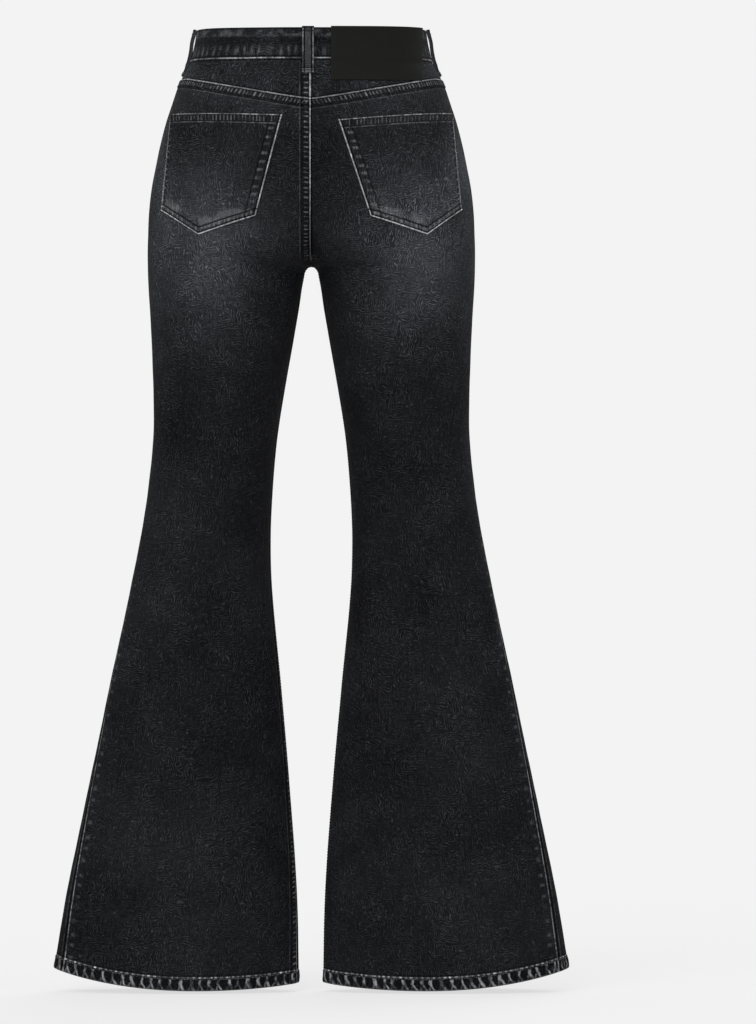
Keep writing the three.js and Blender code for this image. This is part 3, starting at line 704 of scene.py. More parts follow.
def back_panel_seams(worn):
    """The felled yoke seam, centre back and inseam, the outseam, and the roped hem, with painted shade
    under the lapping centre-back edge and along the outseam's edge.
    """
    out, mid, top = worn["edges"].parts()
    around, down = worn["run"].parts()[:2]
    place, felled = worn["place"], worn["felled"]
    mid_pale, mid_dark, mid_height = felled_seam(mid, down, place, 5.8, 0.48)
    top_pale, top_dark, top_height = felled_seam(top, around, place, 4.6, 0.27)
    hem_pale, hem_dark, hem_height = roped_hem(worn)
    low_leg = (-420 - height_of(place)).soft(0, 120)
    side_pale = line_at(out, 3.0, 0.9) * (0.05 + 0.16 * low_leg) * rubbed(place)
    blotches = band(out, 8, 14, 2) * puckers(down, place, 14.0, 0.3) * 0.045 * low_leg
    pale = mid_pale * felled + top_pale + hem_pale + side_pale + blotches
    # Painted shade: a dark line where the right panel's centre edge lies under the left one's felled
    # edge, and darkening at the outseam's edge, which stands at the outline.
    dark = mid_dark * felled + line_at(mid, 0.0, 1.8) * (1 - felled) * 0.9 + top_dark
    dark = dark + hem_dark + (1 - out.soft(0.6, 2.2)) * 0.75
    return pale, dark.math("MINIMUM", 0.9), mid_height * felled + top_height + hem_height


back_denim = washed_denim("denim_back_panel", back_panel_seams)


def yoke_height(x):
    """The yoke seam's height, a shallow V lowest at the centre back."""
    return mix(YOKE_CENTRE_Z, YOKE_SIDE_Z, np.minimum(x / YOKE_HALF_WIDTH, 1) ** 1.1)


def back_angles(side, z, fixed, share):
    """Angles round the back from the outseam to the centre back or the inseam."""
    start = through(SEAMS, f"{side}_out", z)
    end = 360 + through(SEAMS, f"{side}_in", z)
    return angle_walked(start, end, z, fixed, share)


def grooves(distance, rows, depth):
    """How deep rows of stitching draw the cloth in: a bell across each row."""
    return depth * sum(bell(distance - row, 0.6) for row in rows)


def fell_ridge(distance):
    """Relief of a felled seam: a flat ridge with two rows of stitching sunk in it."""
    ridge = FELL_RISE * (1 - ease((distance - FELL_WIDTH + 0.5) / 1.1))
    return ridge * (0.45 + 0.55 * ease(distance / 0.7)) - grooves(distance, STITCH_ROWS, 0.22)


def hem_relief(up, around, lean):
    """Relief of the turned hem: a raised band, roped on the slant, with a rounded lower edge."""
    raised = 0.75 * (1 - ease((up - 14.6) / 0.7))
    along = around - lean * ROPE_LEAN * np.maximum(ROPE_BEND - up, 0)
    rope = 0.5 * np.cos(2 * np.pi * along / ROPE_PITCH) * np.sin(np.pi * np.clip(up / 14, 0, 1))
    return raised + np.where(up < 14, rope, 0) - 0.3 * bell(up - HEM_STITCH, 0.5) - round_edge(up, 1.9)


# Lines of stitching, gathered while the pieces are made and sewn in the last section
sewn_lines = []


def line_on(grid, distance, at):
    """Where a distance that grows along the rows of a grid reaches a value: one point a row."""
    row = np.arange(len(distance))
    i = np.clip(np.sum(distance < at, axis=1) - 1, 0, distance.shape[1] - 2)
    t = (at - distance[row, i]) / (distance[row, i + 1] - distance[row, i])
    return mix(grid[row, i], grid[row, i + 1], np.clip(t, 0, 1)[:, None])


def sew(grid, distance, axis, at, hand, trim=0.0, pale=0.0, bar=False):
    """Notes the line of stitching where a distance, which changes along one axis of a grid, is met.

    The grid holds points and normals. The line has one point for each place on the other axis.
    """
    if axis == 0:
        grid, distance = grid.swapaxes(0, 1), distance.T
    if distance[0, 0] > distance[0, -1]:
        grid, distance = grid[:, ::-1], distance[:, ::-1]
    sewn_lines.append((line_on(grid, distance, at), hand, trim, pale, bar))


def with_normals(points, normal):
    """Points and normals side by side, six numbers a point."""
    return np.concatenate([points, normal], axis=-1)


def back_panel(side):
    """One back panel as a wall: angle and height on a grid, then relief along the normal."""
    fixed, share = edge_columns(np.linspace(0, 1, 100)[1:-1])
    nominal = np.clip(share + fixed / 230, 0, 1)
    level = np.full_like(share, YOKE_CENTRE_Z)
    top = yoke_height(cloth(back_angles(side, level, fixed, share), level)[:, 0]) - SEAM_GAP / 2
    level = np.full_like(share, HEM_Z)
    hem = hem_height(cloth(back_angles(side, level, fixed, share), level)[:, 0])
    z = panel_heights(1 - nominal, top, hem)
    trimmed = fixed + SEAM_GAP / 2 * (1 - 2 * nominal)
    base, normal, around, down = cloth_grid(back_angles(side, z, trimmed, share), z)
    mid = mix(around[:, -1:] - around, base[..., 0], ease((z - CROTCH_Z) / 8))
    up = z - hem
    smooth_rise = 1 - ease((-150 - z) / 60) + ease((CROTCH_Z - 20 - z) / 30)
    above = ease((z - CROTCH_Z - 5) / 10)
    felled = np.clip(mix(1, float(side == "left"), above), 0, 1)
    relief = fell_ridge(mid) * felled * smooth_rise + fell_ridge(down) + slack(base) * ease(mid / 20)
    relief = relief - 0.5 * np.exp(-around / 1.4) + hem_relief(up, around, HANDS[side])
    wall = mix(DENIM, HEM_WALL - round_edge(up, 1.5), ease((HEM_HEIGHT + 0.4 - up) / 0.8))
    outer = base + normal * relief[..., None]
    inner = base - normal * wall[..., None]
    grid = with_normals(outer, normal)
    rise = len(RISE_SHARES)
    legs = slice(rise + 3, -len(HEM_STEPS) + 3)
    for at in STITCH_ROWS:
        sew(grid, down, 0, at, HANDS[side], 3.0)
        sew(grid[legs], mid[legs], 1, at, HANDS[side])
        if side == "left":
            sew(grid[:rise], mid[:rise], 1, at, HANDS[side], 2.0)
    sew(grid, up, 0, HEM_STITCH, HANDS[side], 0.0, 0.13)
    return cloth_piece(
        f"back_{side}_cloth", seamed(outer, -1, rise), seamed(inner, -1, rise), HANDS[side], back_denim,
        edges=(around, mid, down), run=(around, down, up),
        wear=(back_fade_and_sheen(base[..., 0], base[..., 2]), felled, 0),
    )


for side in HANDS:
    piece = back_panel(side)


# The front panels. The left one laps over the right along the fly, and each is cut away near its
# side for the scooped pocket. They meet the back panels in plain pressed-open outseams.

SCOOP_START_X = 68
SCOOP_DEPTH = 72
FLY_LAP = 7
FLY_END_Z = -178
FLY_LIFT = 1.95
FLY_LIFT_END = 21
FLY_STITCH_X = 37
FLY_TURN = 52
FLY_ROWS = (0, 6)
FRONT_TOP = -BAND_HEIGHT - SEAM_GAP


def front_angles(side, z, fixed, share):
    """Angles round the front from the centre front or the inseam to the outseam."""
    start = np.where(z > CROTCH_Z, 0, through(SEAMS, f"{side}_in", z))
    return angle_walked(start, through(SEAMS, f"{side}_out", z), z, fixed, share)


def front_share(side, angle, z):
    """A place round the front as the mean of its share of the length and of the turn."""
    start = np.zeros_like(z)
    end = through(SEAMS, f"{side}_out", z)
    angles, length = walk(start, end, z)
    turned = (angle - start) / (end - start)
    step = np.clip(turned * (angles.shape[-1] - 1), 0, angles.shape[-1] - 1.001)
    low = np.take_along_axis(length, np.floor(step).astype(int)[..., None], -1)[..., 0]
    high = np.take_along_axis(length, np.floor(step).astype(int)[..., None] + 1, -1)[..., 0]
    return (mix(low, high, step % 1) / length[..., -1] + turned) / 2


def scoop_tops(side, fixed, share):
    """Heights of the front's top edge: level, then a quarter ellipse down to the side seam."""
    level = np.array([FRONT_TOP])
    begin = front_share(side, angle_at_x(SCOOP_START_X, level, FRONT), level)
    z = np.full_like(share, FRONT_TOP)
    for _ in range(6):
        across = (front_share(side, front_angles(side, z, fixed, share), z) - begin) / (1 - begin)
        z = FRONT_TOP - SCOOP_DEPTH * np.sqrt(1 - (1 - np.clip(across, 0, 1)) ** 2)
    return z


def distance_to(points, line):
    """Shortest distance from each point to a line of points, measured to each of its segments."""
    step = np.diff(line, axis=0)
    offset = points[..., None, :] - line[:-1]
    along = np.clip(np.sum(offset * step, axis=-1) / np.sum(step * step, axis=-1), 0, 1)
    return np.linalg.norm(offset - along[..., None] * step, axis=-1).min(axis=-1)


def fly_line(inset):
    """The curved fly stitching: down beside the lap, then a quarter turn in to its foot."""
    turn = np.linspace(0, np.pi / 2, 24)
    straight = np.linspace(FRONT_TOP, FLY_END_Z + FLY_TURN, 20)[:-1]
    x = np.concatenate([np.full(19, FLY_STITCH_X - inset), (FLY_STITCH_X - inset) * np.cos(turn)])
    z = np.concatenate([straight, FLY_END_Z + FLY_TURN - (FLY_TURN - inset) * np.sin(turn)])
    angle = angle_at_x(x, z, FRONT)
    return with_normals(cloth(angle, z), cloth_normal(angle, z))


def front_fade(x, z):
    """How pale the wash has left the front: thighs and knees on dark cloth."""
    thigh = 0.04 * bell(x - 118, 46) * bell(z + 330, 130)
    knee = 0.012 * bell(x - 126, 48) * bell(z + 560, 70)
    hip = 0.012 * bell(x - 90, 60) * bell(z + 110, 70)
    return INK + thigh + knee + hip


def front_panel_seams(worn):
    """The pocket mouth, the fly stitching, plain side seams and the roped hem, with painted shade along
    the centre edge, at the outseam's edge and in the ditch past the pocket mouth.
    """
    out, mid, mouth = worn["edges"].parts()
    around, down = worn["run"].parts()[:2]
    place, lapped, fly = worn["place"], worn["felled"], worn["depth"]
    rub = rubbed(place)
    mouth_bars = band(mouth, 2.2, 8.0) * puckers(around + down, place, 6.2)
    hem_pale, hem_dark, hem_height = roped_hem(worn)
    pale = line_at(mouth, 0.7, 0.8) * 0.25 + line_at(mouth, 9.5, 0.6) * 0.05
    pale = pale + line_at(out, 3.0, 0.9) * 0.04 + line_at(mid, 0.6, 0.8) * 0.22 * lapped
    pale = pale + line_at(fly, 0.9, 0.6) * 0.03
    fly_bars = band(fly, 1.5, 6.5) * puckers(down, place, 6.4)
    pale = pale * rub + mouth_bars * 0.05 + hem_pale + fly_bars * 0.02
    # Painted shade: a dark line along the centre edge except where it is the fly's lapping edge,
    # darkening at the outseam's edge, and a dark line in the ditch past the mouth's raised edge.
    dark = line_at(mid, 0.0, 1.6) * (1 - lapped) * 0.8 + (1 - out.soft(0.6, 2.2)) * 0.75
    dark = dark + hem_dark + line_at(mouth, 10.8, 1.2) * 0.5
    return pale, dark.math("MINIMUM", 0.9), mouth_bars * 0.2 + hem_height


front_denim = washed_denim("denim_front_panel", front_panel_seams)


def front_panel(side):
    """One front panel as a wall: angle and height on a grid, then the fly's lap and the relief."""
    level = np.array([FRONT_TOP])
    begin = front_share(side, angle_at_x(SCOOP_START_X, level, FRONT), level)[0]
    steep = begin - 0.02 + np.array([0.004, 0.008, 0.012, 0.017, 0.023])
    middle = np.sort(np.concatenate([np.linspace(0, 1, 96)[1:-1], steep]))
    fixed, share = edge_columns(middle)
    nominal = np.clip(share + fixed / 230, 0, 1)
    top = scoop_tops(side, fixed, share)
    level = np.full_like(share, HEM_Z)
    hem = hem_height(cloth(front_angles(side, level, fixed, share), level)[:, 0])
    z = panel_heights(nominal, top, hem)
    trimmed = fixed + SEAM_GAP / 2 * (1 - 2 * nominal)
    base, normal, around, down = cloth_grid(front_angles(side, z, trimmed, share), z)
    out = around[:, -1:] - around
    up = z - hem
    rise = len(RISE_SHARES)
    scooped = top < FRONT_TOP - 0.5
    mouth = np.full_like(z, 99.0)
    mouth[:rise] = distance_to(base[:rise], base[0, scooped])
    fly = np.full_like(z, 99.0)
    lapped = side == "left"
    relief = slack(base) * ease(around / 20) - 0.5 * np.exp(-out / 1.4)
    relief = relief + hem_relief(up, around, HANDS[side]) + 0.35 * (1 - ease((mouth - 8.6) / 1.2))
    relief = relief - grooves(mouth, STITCH_ROWS, 0.25) - round_edge(mouth, 0.8)
    if lapped:
        fly[:rise] = distance_to(base[:rise], fly_line(0)[:, :3])
        relief = relief - grooves(fly, FLY_ROWS, 0.3)
    wall = mix(DENIM, HEM_WALL - round_edge(up, 1.5), ease((HEM_HEIGHT + 0.4 - up) / 0.8))
    outer = base + normal * relief[..., None]
    inner = base - normal * wall[..., None]
    if lapped:
        reach = FLY_LAP * ease((z - FLY_END_Z) / 16) * ease((FLY_LIFT_END - around) / FLY_LIFT_END)
        near = ease((FLY_LIFT_END - base[..., 0]) / 7)
        raised = FLY_LIFT * ease((z - FLY_END_Z + 22) / 12) * near
        shift = np.stack([-reach, -raised, np.zeros_like(z)], axis=-1)
        outer, inner = outer + shift, inner + shift
    grid = with_normals(outer, normal)
    for at in STITCH_ROWS:
        sew(grid[:rise, scooped], mouth[:rise, scooped], 0, at, HANDS[side], 1.0)
    sew(grid, up, 0, HEM_STITCH, HANDS[side], 0.0, 0.13)
    if lapped:
        above = z[:rise, 0] > FLY_END_Z + 14
        sew(grid[:rise][above], around[:rise][above], 1, STITCH_ROWS[0], HANDS[side], 1.0)
        sewn_lines.extend((fly_line(inset), HANDS[side], 2.0, 0.0, False) for inset in FLY_ROWS)
    return cloth_piece(
        f"front_{side}_cloth", seamed(outer, 0, rise), seamed(inner, 0, rise), HANDS[side], front_denim,
        edges=(out, around, mouth), run=(around, down, up),
        wear=(front_fade(base[..., 0], base[..., 2]), ease((z - FLY_END_Z) / 16) * float(lapped), fly),
    )


for side in HANDS:
    piece = front_panel(side)


# The yokes. Two shaped pieces of the same denim between the waistband and the back panels,
# seamed at the centre back and folded in under the back panels' felled edge.

def yoke_seams(worn):
    """Painted shade in the ditch above the yoke seam, the felled centre back, and painted shade in the
    ditch under the waistband.
    """
    out, mid, low = worn["edges"].parts()
    down, top = worn["run"].parts()[1:]
    place, felled = worn["place"], worn["felled"]
    mid_pale, mid_dark, height = felled_seam(mid, down, place, 5.8, 0.42)
    pale = mid_pale * felled + line_at(top, 2.6, 0.5) * 0.03 * rubbed(place)
    pale = pale + line_at(out, 3.0, 0.9) * 0.05
    # Painted shade: dark where the yoke runs under the back panels' felled edge, along the centre edge
    # under the left one's fell, and under the waistband.
    dark = (1 - low.soft(0.3, 2.6)) * 0.9 + line_at(mid, 0.0, 1.8) * (1 - felled) * 0.9
    dark = dark + mid_dark * felled + (1 - top.soft(0.8, 4.4)) * 0.6
    return pale, dark.math("MINIMUM", 0.9), height * felled


yoke_denim = washed_denim("denim_yoke", yoke_seams)


def yoke_fade_and_sheen(x, z):
    """Even mid grey, a little paler towards the sides of the hips, where the paleness is painted sheen.
    """
    # The bell 150 mm out is painted sheen at the side of the hip.
    return INK + 0.0052 + 0.005 * np.sin(x / 23 + z / 17) ** 2 + 0.008 * bell(x - 150, 22)


def yoke(side):
    """One yoke as a wall between the waistband's edge and the yoke seam."""
    fixed, share = edge_columns(np.linspace(0, 1, 80)[1:-1])
    nominal = np.clip(share + fixed / 150, 0, 1)
    level = np.full_like(share, YOKE_CENTRE_Z)
    low = yoke_height(cloth(back_angles(side, level, fixed, share), level)[:, 0]) + SEAM_GAP / 2
    rows = np.concatenate([np.linspace(0, 0.9, 20), [0.93, 0.95, 0.965, 0.98, 0.99, 1.0]])[:, None]
    z = mix(FRONT_TOP, low, rows)
    trimmed = fixed + SEAM_GAP / 2 * (1 - 2 * nominal)
    base, normal, around, down = cloth_grid(back_angles(side, z, trimmed, share), z)
    mid = around[:, -1:] - around
    left = down[-1:] - down
    felled = float(side == "left")
    relief = fell_ridge(mid) * felled + slack(base) * ease(mid / 20) * ease(left / 8)
    relief = relief - 0.5 * np.exp(-around / 1.4) - 0.5 * np.exp(-left / 1.2)
    outer = base + normal * relief[..., None]
    inner = base - normal * DENIM
    if side == "left":
        for at in STITCH_ROWS:
            sew(with_normals(outer, normal), mid, 1, at, HANDS[side], 1.0)
    outer, inner = seamed(seamed(outer)[::-1])[::-1], seamed(seamed(inner)[::-1])[::-1]
    return cloth_piece(
        f"yoke_{side}_cloth", outer, inner, HANDS[side], yoke_denim, edges=(around, mid, left),
        run=(around, down, down), wear=(yoke_fade_and_sheen(base[..., 0], base[..., 2]), felled, 0),
    )


for side in HANDS:
    piece = yoke(side)


# The waistband. One folded strip of denim that holds the tops of all the panels. Its left end
# laps over the right one at the front, and it is stitched along both edges.

BAND_WALL = 2.8
BAND_PROUD = 0.7
BAND_STEP = 3.3
BAND_OVERLAP = 16
BAND_UNDERLAP = 24
BAND_STITCH = 2.4
BAND_ROWS = np.array([
    0, 0.3, 0.8, 1.5, 2.2, 2.8, 3.6, 5, 7, 9.5, 12, 14.5, 17, 19.5, 22, 24.5, 27, 29, 31, 32.4, 33.2,
    34, 34.7, 35.3, 35.7, 36,
])


def waistband_seams(worn):
    """Stitching along both edges, puckers over the lower one and rubbed patches along the fold."""
    top = worn["edges"].parts()[2]
    along, down, low = worn["run"].parts()
    place = worn["place"]
    rub = rubbed(place)
    pleats = puckers(along, place, 10.0, -0.1) * band(down, 22, 32, 4)
    patches = place.noise(70, 1.0).soft(0.46, 0.62) * band(top, 1.8, 10, 2)
    pale = line_at(top, 9.6, 0.9) * 0.02 + line_at(low, 0.7, 0.85) * 0.34 + line_at(top, 0.6, 0.8) * 0.03
    pale = pale * rub + pleats * 0.055 + patches * 0.045
    dark = line_at(low, 2.6, 1.1) * 0.7 + line_at(top, 1.4, 0.9) * 0.6 + band(down, 11, 20, 3) * 0.3
    return pale, dark.math("MINIMUM", 0.9), pleats * 0.3 + patches * 0.1


def waistband():
    """The band as a wall along the waist: stations from the lapping end round to the tucked one."""
    half = np.linspace(0, 1, 190)
    lap = np.linspace(BAND_OVERLAP, 0, 15)[:-1]
    tuck = np.linspace(0, BAND_UNDERLAP, 17)[1:]
    z = -BAND_ROWS[:, None]

    def grid(count):
        return np.broadcast_to(z, (len(BAND_ROWS), count)).astype(float)

    right = half[::-1][1:]
    walks = [(grid(len(share)), share) for share in (half, right)]
    angles = [
        angle_at_x(lap, grid(len(lap)), FRONT),
        *(angle_walked(0 * at, 0 * at + 360, at, 0, share) for at, share in walks),
        angle_at_x(tuck, grid(len(tuck)), FRONT),
    ]
    hands = np.repeat([-1.0, 1.0, -1.0, 1.0], [len(lap), len(half), len(right), len(tuck)])
    angle = np.concatenate(angles, axis=1)
    z = grid(angle.shape[1])
    base = cloth(angle, z)
    normal = cloth_normal(np.clip(angle, 1.5, 358.5), z)
    near_end = np.where(base[..., 1] < 0, ease((BAND_OVERLAP + 32 - base[..., 0]) / 28), 0)
    column = np.arange(angle.shape[1])
    sunk = np.where(column < len(lap) + len(half), 0, near_end)
    sunk = np.where(column >= angle.shape[1] - len(tuck), 1, sunk)
    mirror = np.stack([hands, np.ones_like(hands), np.ones_like(hands)], axis=-1)
    base, normal = base * mirror, normal * mirror
    along = run_length(base, 1)
    ends = np.minimum(along, along[:, -1:] - along)
    along = np.broadcast_to(along[12], along.shape)
    down = -z
    low = BAND_HEIGHT - down
    pleat = 0.22 * np.sin(along / 1.75 + 2 * np.sin(along / 23)) * bell(down - 27, 6)
    roll = round_edge(down, 1.3) + round_edge(low, 1.0) + round_edge(ends, 1.2)
    sewn = grooves(down, (BAND_STITCH, BAND_HEIGHT - BAND_STITCH), 0.25)
    proud = BAND_PROUD - BAND_STEP * sunk
    outer = base + normal * (proud + pleat + 0.4 * slack(base) - sewn - roll)[..., None]
    inner = base + normal * (proud - BAND_WALL + 0.8 * round_edge(down, 1.3))[..., None]
    fade = INK + 0.002 + 0.005 * np.sin(along / 31) ** 2
    showing = sunk[0] < 0.9
    for at in (BAND_STITCH, BAND_HEIGHT - BAND_STITCH):
        sew(with_normals(outer, normal)[:, showing], down[:, showing], 0, at, 1, 1.5)
    finish = washed_denim("denim_waistband", waistband_seams, 0.05)
    return cloth_piece(
        "waistband_cloth", outer, inner, 1, finish,
        edges=(ends, 0, down), run=(along, down, low), wear=(fade, 0, 0),
    )


piece = waistband()


# The pocket facings. Denim behind the scooped mouths of the front pockets, sewn to the pocket
# bags and held at the waistband and the side seams.

FACING_TUCK = 12
FACING_LAP = 0.8
FACING_SET_BACK = 2.4
FACING_WALL = 1.2


def plain_seams(worn):
    """No seams of its own: a little painted shade towards the top edge, which lies under other cloth."""
    top = worn["edges"].parts()[2]
    # Painted shade where the facing tucks under the waistband.
    return top * 0, line_at(top, 0.0, 3.0) * 0.3, top * 0


plain_denim = washed_denim("denim_facing", plain_seams)


def pocket_facing(side):
    """One facing as a wall set back under the front's surface."""
    share = np.linspace(0, 0.998, 64)
    z = np.linspace(FRONT_TOP + FACING_LAP, FRONT_TOP - SCOOP_DEPTH - FACING_TUCK, 48)
    z = z[:, None] + 0 * share
    start = angle_at_x(SCOOP_START_X - FACING_TUCK, z, FRONT)
    angle = angle_walked(start, through(SEAMS, f"{side}_out", z), z, 0, share)
    base, normal, around, down = cloth_grid(angle, z)
    outer = base + normal * (0.3 * slack(base) - FACING_SET_BACK)[..., None]
    inner = base - normal * (FACING_SET_BACK + FACING_WALL)
    return cloth_piece(
        f"pocket_facing_{side}_cloth", outer, inner, HANDS[side], plain_denim,
        edges=(around[:, -1:] - around, around, down), run=(around, down, down[-1:] - down),
        wear=(INK + 0.006, 0, 0),
    )


for side in HANDS:
    piece = pocket_facing(side)


# The back pockets. Five-sided patches of denim with a turned hem along the top, folded in at
# the other edges and sewn down with two rows of stitching and a bar at each top corner.

POCKET_WALL = 1.4
LAY_GAP = 0.4
POCKET_HEM = 10.5
POCKET_ROWS = (1.8, 7.8)
POCKET_HEM_ROWS = (2.2, 9.2)
POCKET_BARS = {"outer": 5, "inner": 14.5}
POCKET_BAR_LENGTH = 10
POCKETS = {
    "left": {
        "top_inner": (32.3, -100.6), "top_outer": (159.9, -97.5),
        "low_inner": (62.2, -215), "tip": (126.8, -236.6), "low_outer": (169.9, -207.6),
    },
    "right": {
        "top_inner": (31.6, -106.2), "top_outer": (160.8, -96.2),
        "low_inner": (67.9, -215.3), "tip": (131.9, -236.4), "low_outer": (171.3, -206.9),
    },
}


def back_pocket_seams(worn):
    """Rubbed edges all round, two rows of stitching, and puckers over the turned edges."""
    outer_side, inner_side, top = worn["edges"].parts()
    x, down, lower = worn["run"].parts()
    place, border = worn["place"], worn["felled"]
    rub = rubbed(place)
    hem_bars = band(top, 1.8, 9.0) * puckers(x, place, 4.1) * border.soft(6, 9)
    side_bars = band(inner_side, 5.5, 11.5, 1.5) * puckers(down, place, 9.6, 0.0) * top.soft(10, 13)
    outer_bars = band(outer_side, 5, 9) * puckers(down, place, 7.0) * top.soft(10, 13)
    low_bars = band(lower, 2.5, 7.0) * puckers(x, place, 5.2)
    corner = line_at(border, 11.5, 7.0) * line_at(lower, 10.0, 8.0) * place.noise(60).soft(0.35, 0.6)
    edge = line_at(border, 0.75, 0.95) * 0.5 * (0.35 + 0.65 * rub)
    pale = edge + line_at(top, 0.7, 0.8) * 0.3 * rub
    pale = pale + line_at(outer_side, 1.6, 2.4) * 0.55 * (0.45 + 0.55 * rub) + corner * 0.05
    pale = pale + line_at(top, 10.6, 0.6) * 0.1 * rub * border.soft(3, 6)
    pale = pale + hem_bars * 0.085 + side_bars * 0.08 + outer_bars * 0.08 + low_bars * 0.1
    tack = (band(inner_side, 12.5, 16.5) + band(outer_side, 5, 8)) * band(top, 1.0, 9.0)
    dark = line_at(inner_side, 12.2, 1.0) * top.soft(10, 12) * 0.6 + line_at(lower, 7.8, 1.1) * 0.8
    dark = dark + band(outer_side, 5, 9) * (1 - outer_bars) * top.soft(10, 12) * 0.5 + tack * 0.6
    dark = dark + line_at(border, 2.5, 0.9) * 0.75 + line_at(top, 9.2, 0.8) * 0.5
    dark = dark + line_at(top, 2.3, 0.7) * 0.4
    return pale, dark.math("MINIMUM", 0.85), (hem_bars + side_bars + low_bars) * 0.22


pocket_denim = washed_denim("denim_back_pocket", back_pocket_seams)


def back_pocket(side):
    """One pocket as a wall: straight columns from its top edge to its two lower edges."""
    corner = {name: np.array(spot, float) for name, spot in POCKETS[side].items()}
    t = np.linspace(0, 1, 111)[:, None]
    top = mix(corner["top_outer"], corner["top_inner"], t)
    outer_low = mix(corner["low_outer"], corner["tip"], np.minimum(2 * t, 1))
    low = np.where(t < 0.5, outer_low, mix(corner["tip"], corner["low_inner"], np.maximum(2 * t - 1, 0)))
    share = np.concatenate([[0, 0.003, 0.008], np.linspace(0.015, 0.985, 104), [0.992, 0.997, 1]])
    x, z = np.moveaxis(mix(top, low, share[:, None, None]), -1, 0)
    base, normal, _, down = cloth_grid(angle_at_x(x, z, BACK), z)
    from_top = distance_to(base, base[0])
    outer_side = distance_to(base, base[:, 0])
    inner_side = distance_to(base, base[:, -1])
    lower = distance_to(base, base[-1])
    border = np.minimum(np.minimum(outer_side, inner_side), lower)
    turned = 0.35 * (1 - ease((border - 9) / 1.5))
    hem = 0.5 * (1 - ease((from_top - POCKET_HEM + 0.5) / 0.9))
    sewn = bell(border - 1.7, 0.6) + bell(border - 7.8, 0.6) * ease((from_top - 9) / 3)
    sewn = sewn + bell(from_top - 9, 0.6)
    relief = np.maximum(turned, hem) - 0.22 * sewn + 0.5 * slack(base)
    relief = relief - round_edge(border, 1.0) - round_edge(from_top, 1.0)
    outer = base + normal * (LAY_GAP + POCKET_WALL + relief)[..., None]
    inner = base + normal * LAY_GAP
    # The pocket takes the back's wash fade and painted hip-side sheen, scaled by side and weaker towards
    # its top.
    washed = {"left": 1.0, "right": 1.5}[side] * (1 - 0.42 * ease((z + 170) / 55))
    fade = mix(INK, back_fade_and_sheen(base[..., 0], base[..., 2]), washed)
    grid = with_normals(outer, normal)
    for at in POCKET_ROWS:
        sew(grid, outer_side, 1, at, HANDS[side], at)
        sew(grid, inner_side, 1, at, HANDS[side], at)
        sew(grid, lower, 0, at, HANDS[side], at)
    for at in POCKET_HEM_ROWS:
        sew(grid, from_top, 0, at, HANDS[side], 1.8)
    high = from_top[:, len(t) // 2] < POCKET_BAR_LENGTH
    sew(grid[high], outer_side[high], 1, POCKET_BARS["outer"], HANDS[side], 1.0, 0.0, True)
    sew(grid[high], inner_side[high], 1, POCKET_BARS["inner"], HANDS[side], 1.0, 0.0, True)
    return cloth_piece(
        f"pocket_back_{side}_cloth", outer, inner, HANDS[side], pocket_denim,
        edges=(outer_side, inner_side, from_top), run=(base[..., 0], down, lower),
        wear=(fade + 0.0005, border, 0),
    )


for side in HANDS:
    piece = back_pocket(side)


# The belt loops. Five narrow folded straps over the waistband, each sewn down at both ends
# with a close bar of stitches and ribbed along its middle by the coverstitch.

LOOP_WIDTH = 13.8
LOOP_WALL = 3.8
LOOP_PRESSED = 1.5
LOOP_TOP = 0.6
LOOP_END_Z = -52.5
LOOP_FOOT_BAR = 3.4
LOOP_TOP_BAR = 5.5
LOOP_HEIGHTS = np.array([-52.5, -46, -42, -37, -31, -23, -15, -9, -4, 0.6])
LOOP_OFFSETS = np.array([0.3, 0.3, 0.4, 0.6, 1.1, 1.5, 2.3, 1.9, 1.0, 0.9])


def belt_loop_seams(worn):
    """Pale folded edges, a ribbed grey middle, a dark fold at the top and a bar at the foot."""
    edge, top = worn["edges"].parts()[::2]
    down, foot = worn["run"].parts()[1:]
    place = worn["place"]
    rub = rubbed(place)
    ribs = (down * (2 * math.pi / 2.3)).sine().soft(-0.2, 0.9)
    bar = band(foot, 2.4, 4.4, 0.5)
    pale = line_at(edge, 1.0, 0.9) * edge.soft(0.2, 0.8) * 0.3 * rub
    pale = pale + band(edge, 3.6, 30, 0.6) * (0.018 + 0.035 * ribs)
    pale = pale + bar * (0.05 + 0.16 * ribs) + line_at(foot, 0.6, 0.6) * 0.1
    dark = (band(edge, 1.9, 3.4, 0.5) + 1 - top.soft(1.5, 4.0)) * 0.75 + line_at(foot, 5.6, 0.8) * 0.6
    return pale, dark.math("MINIMUM", 0.85), ribs * 0.1 + bar * 0.2


loop_denim = washed_denim("denim_belt_loop", belt_loop_seams)


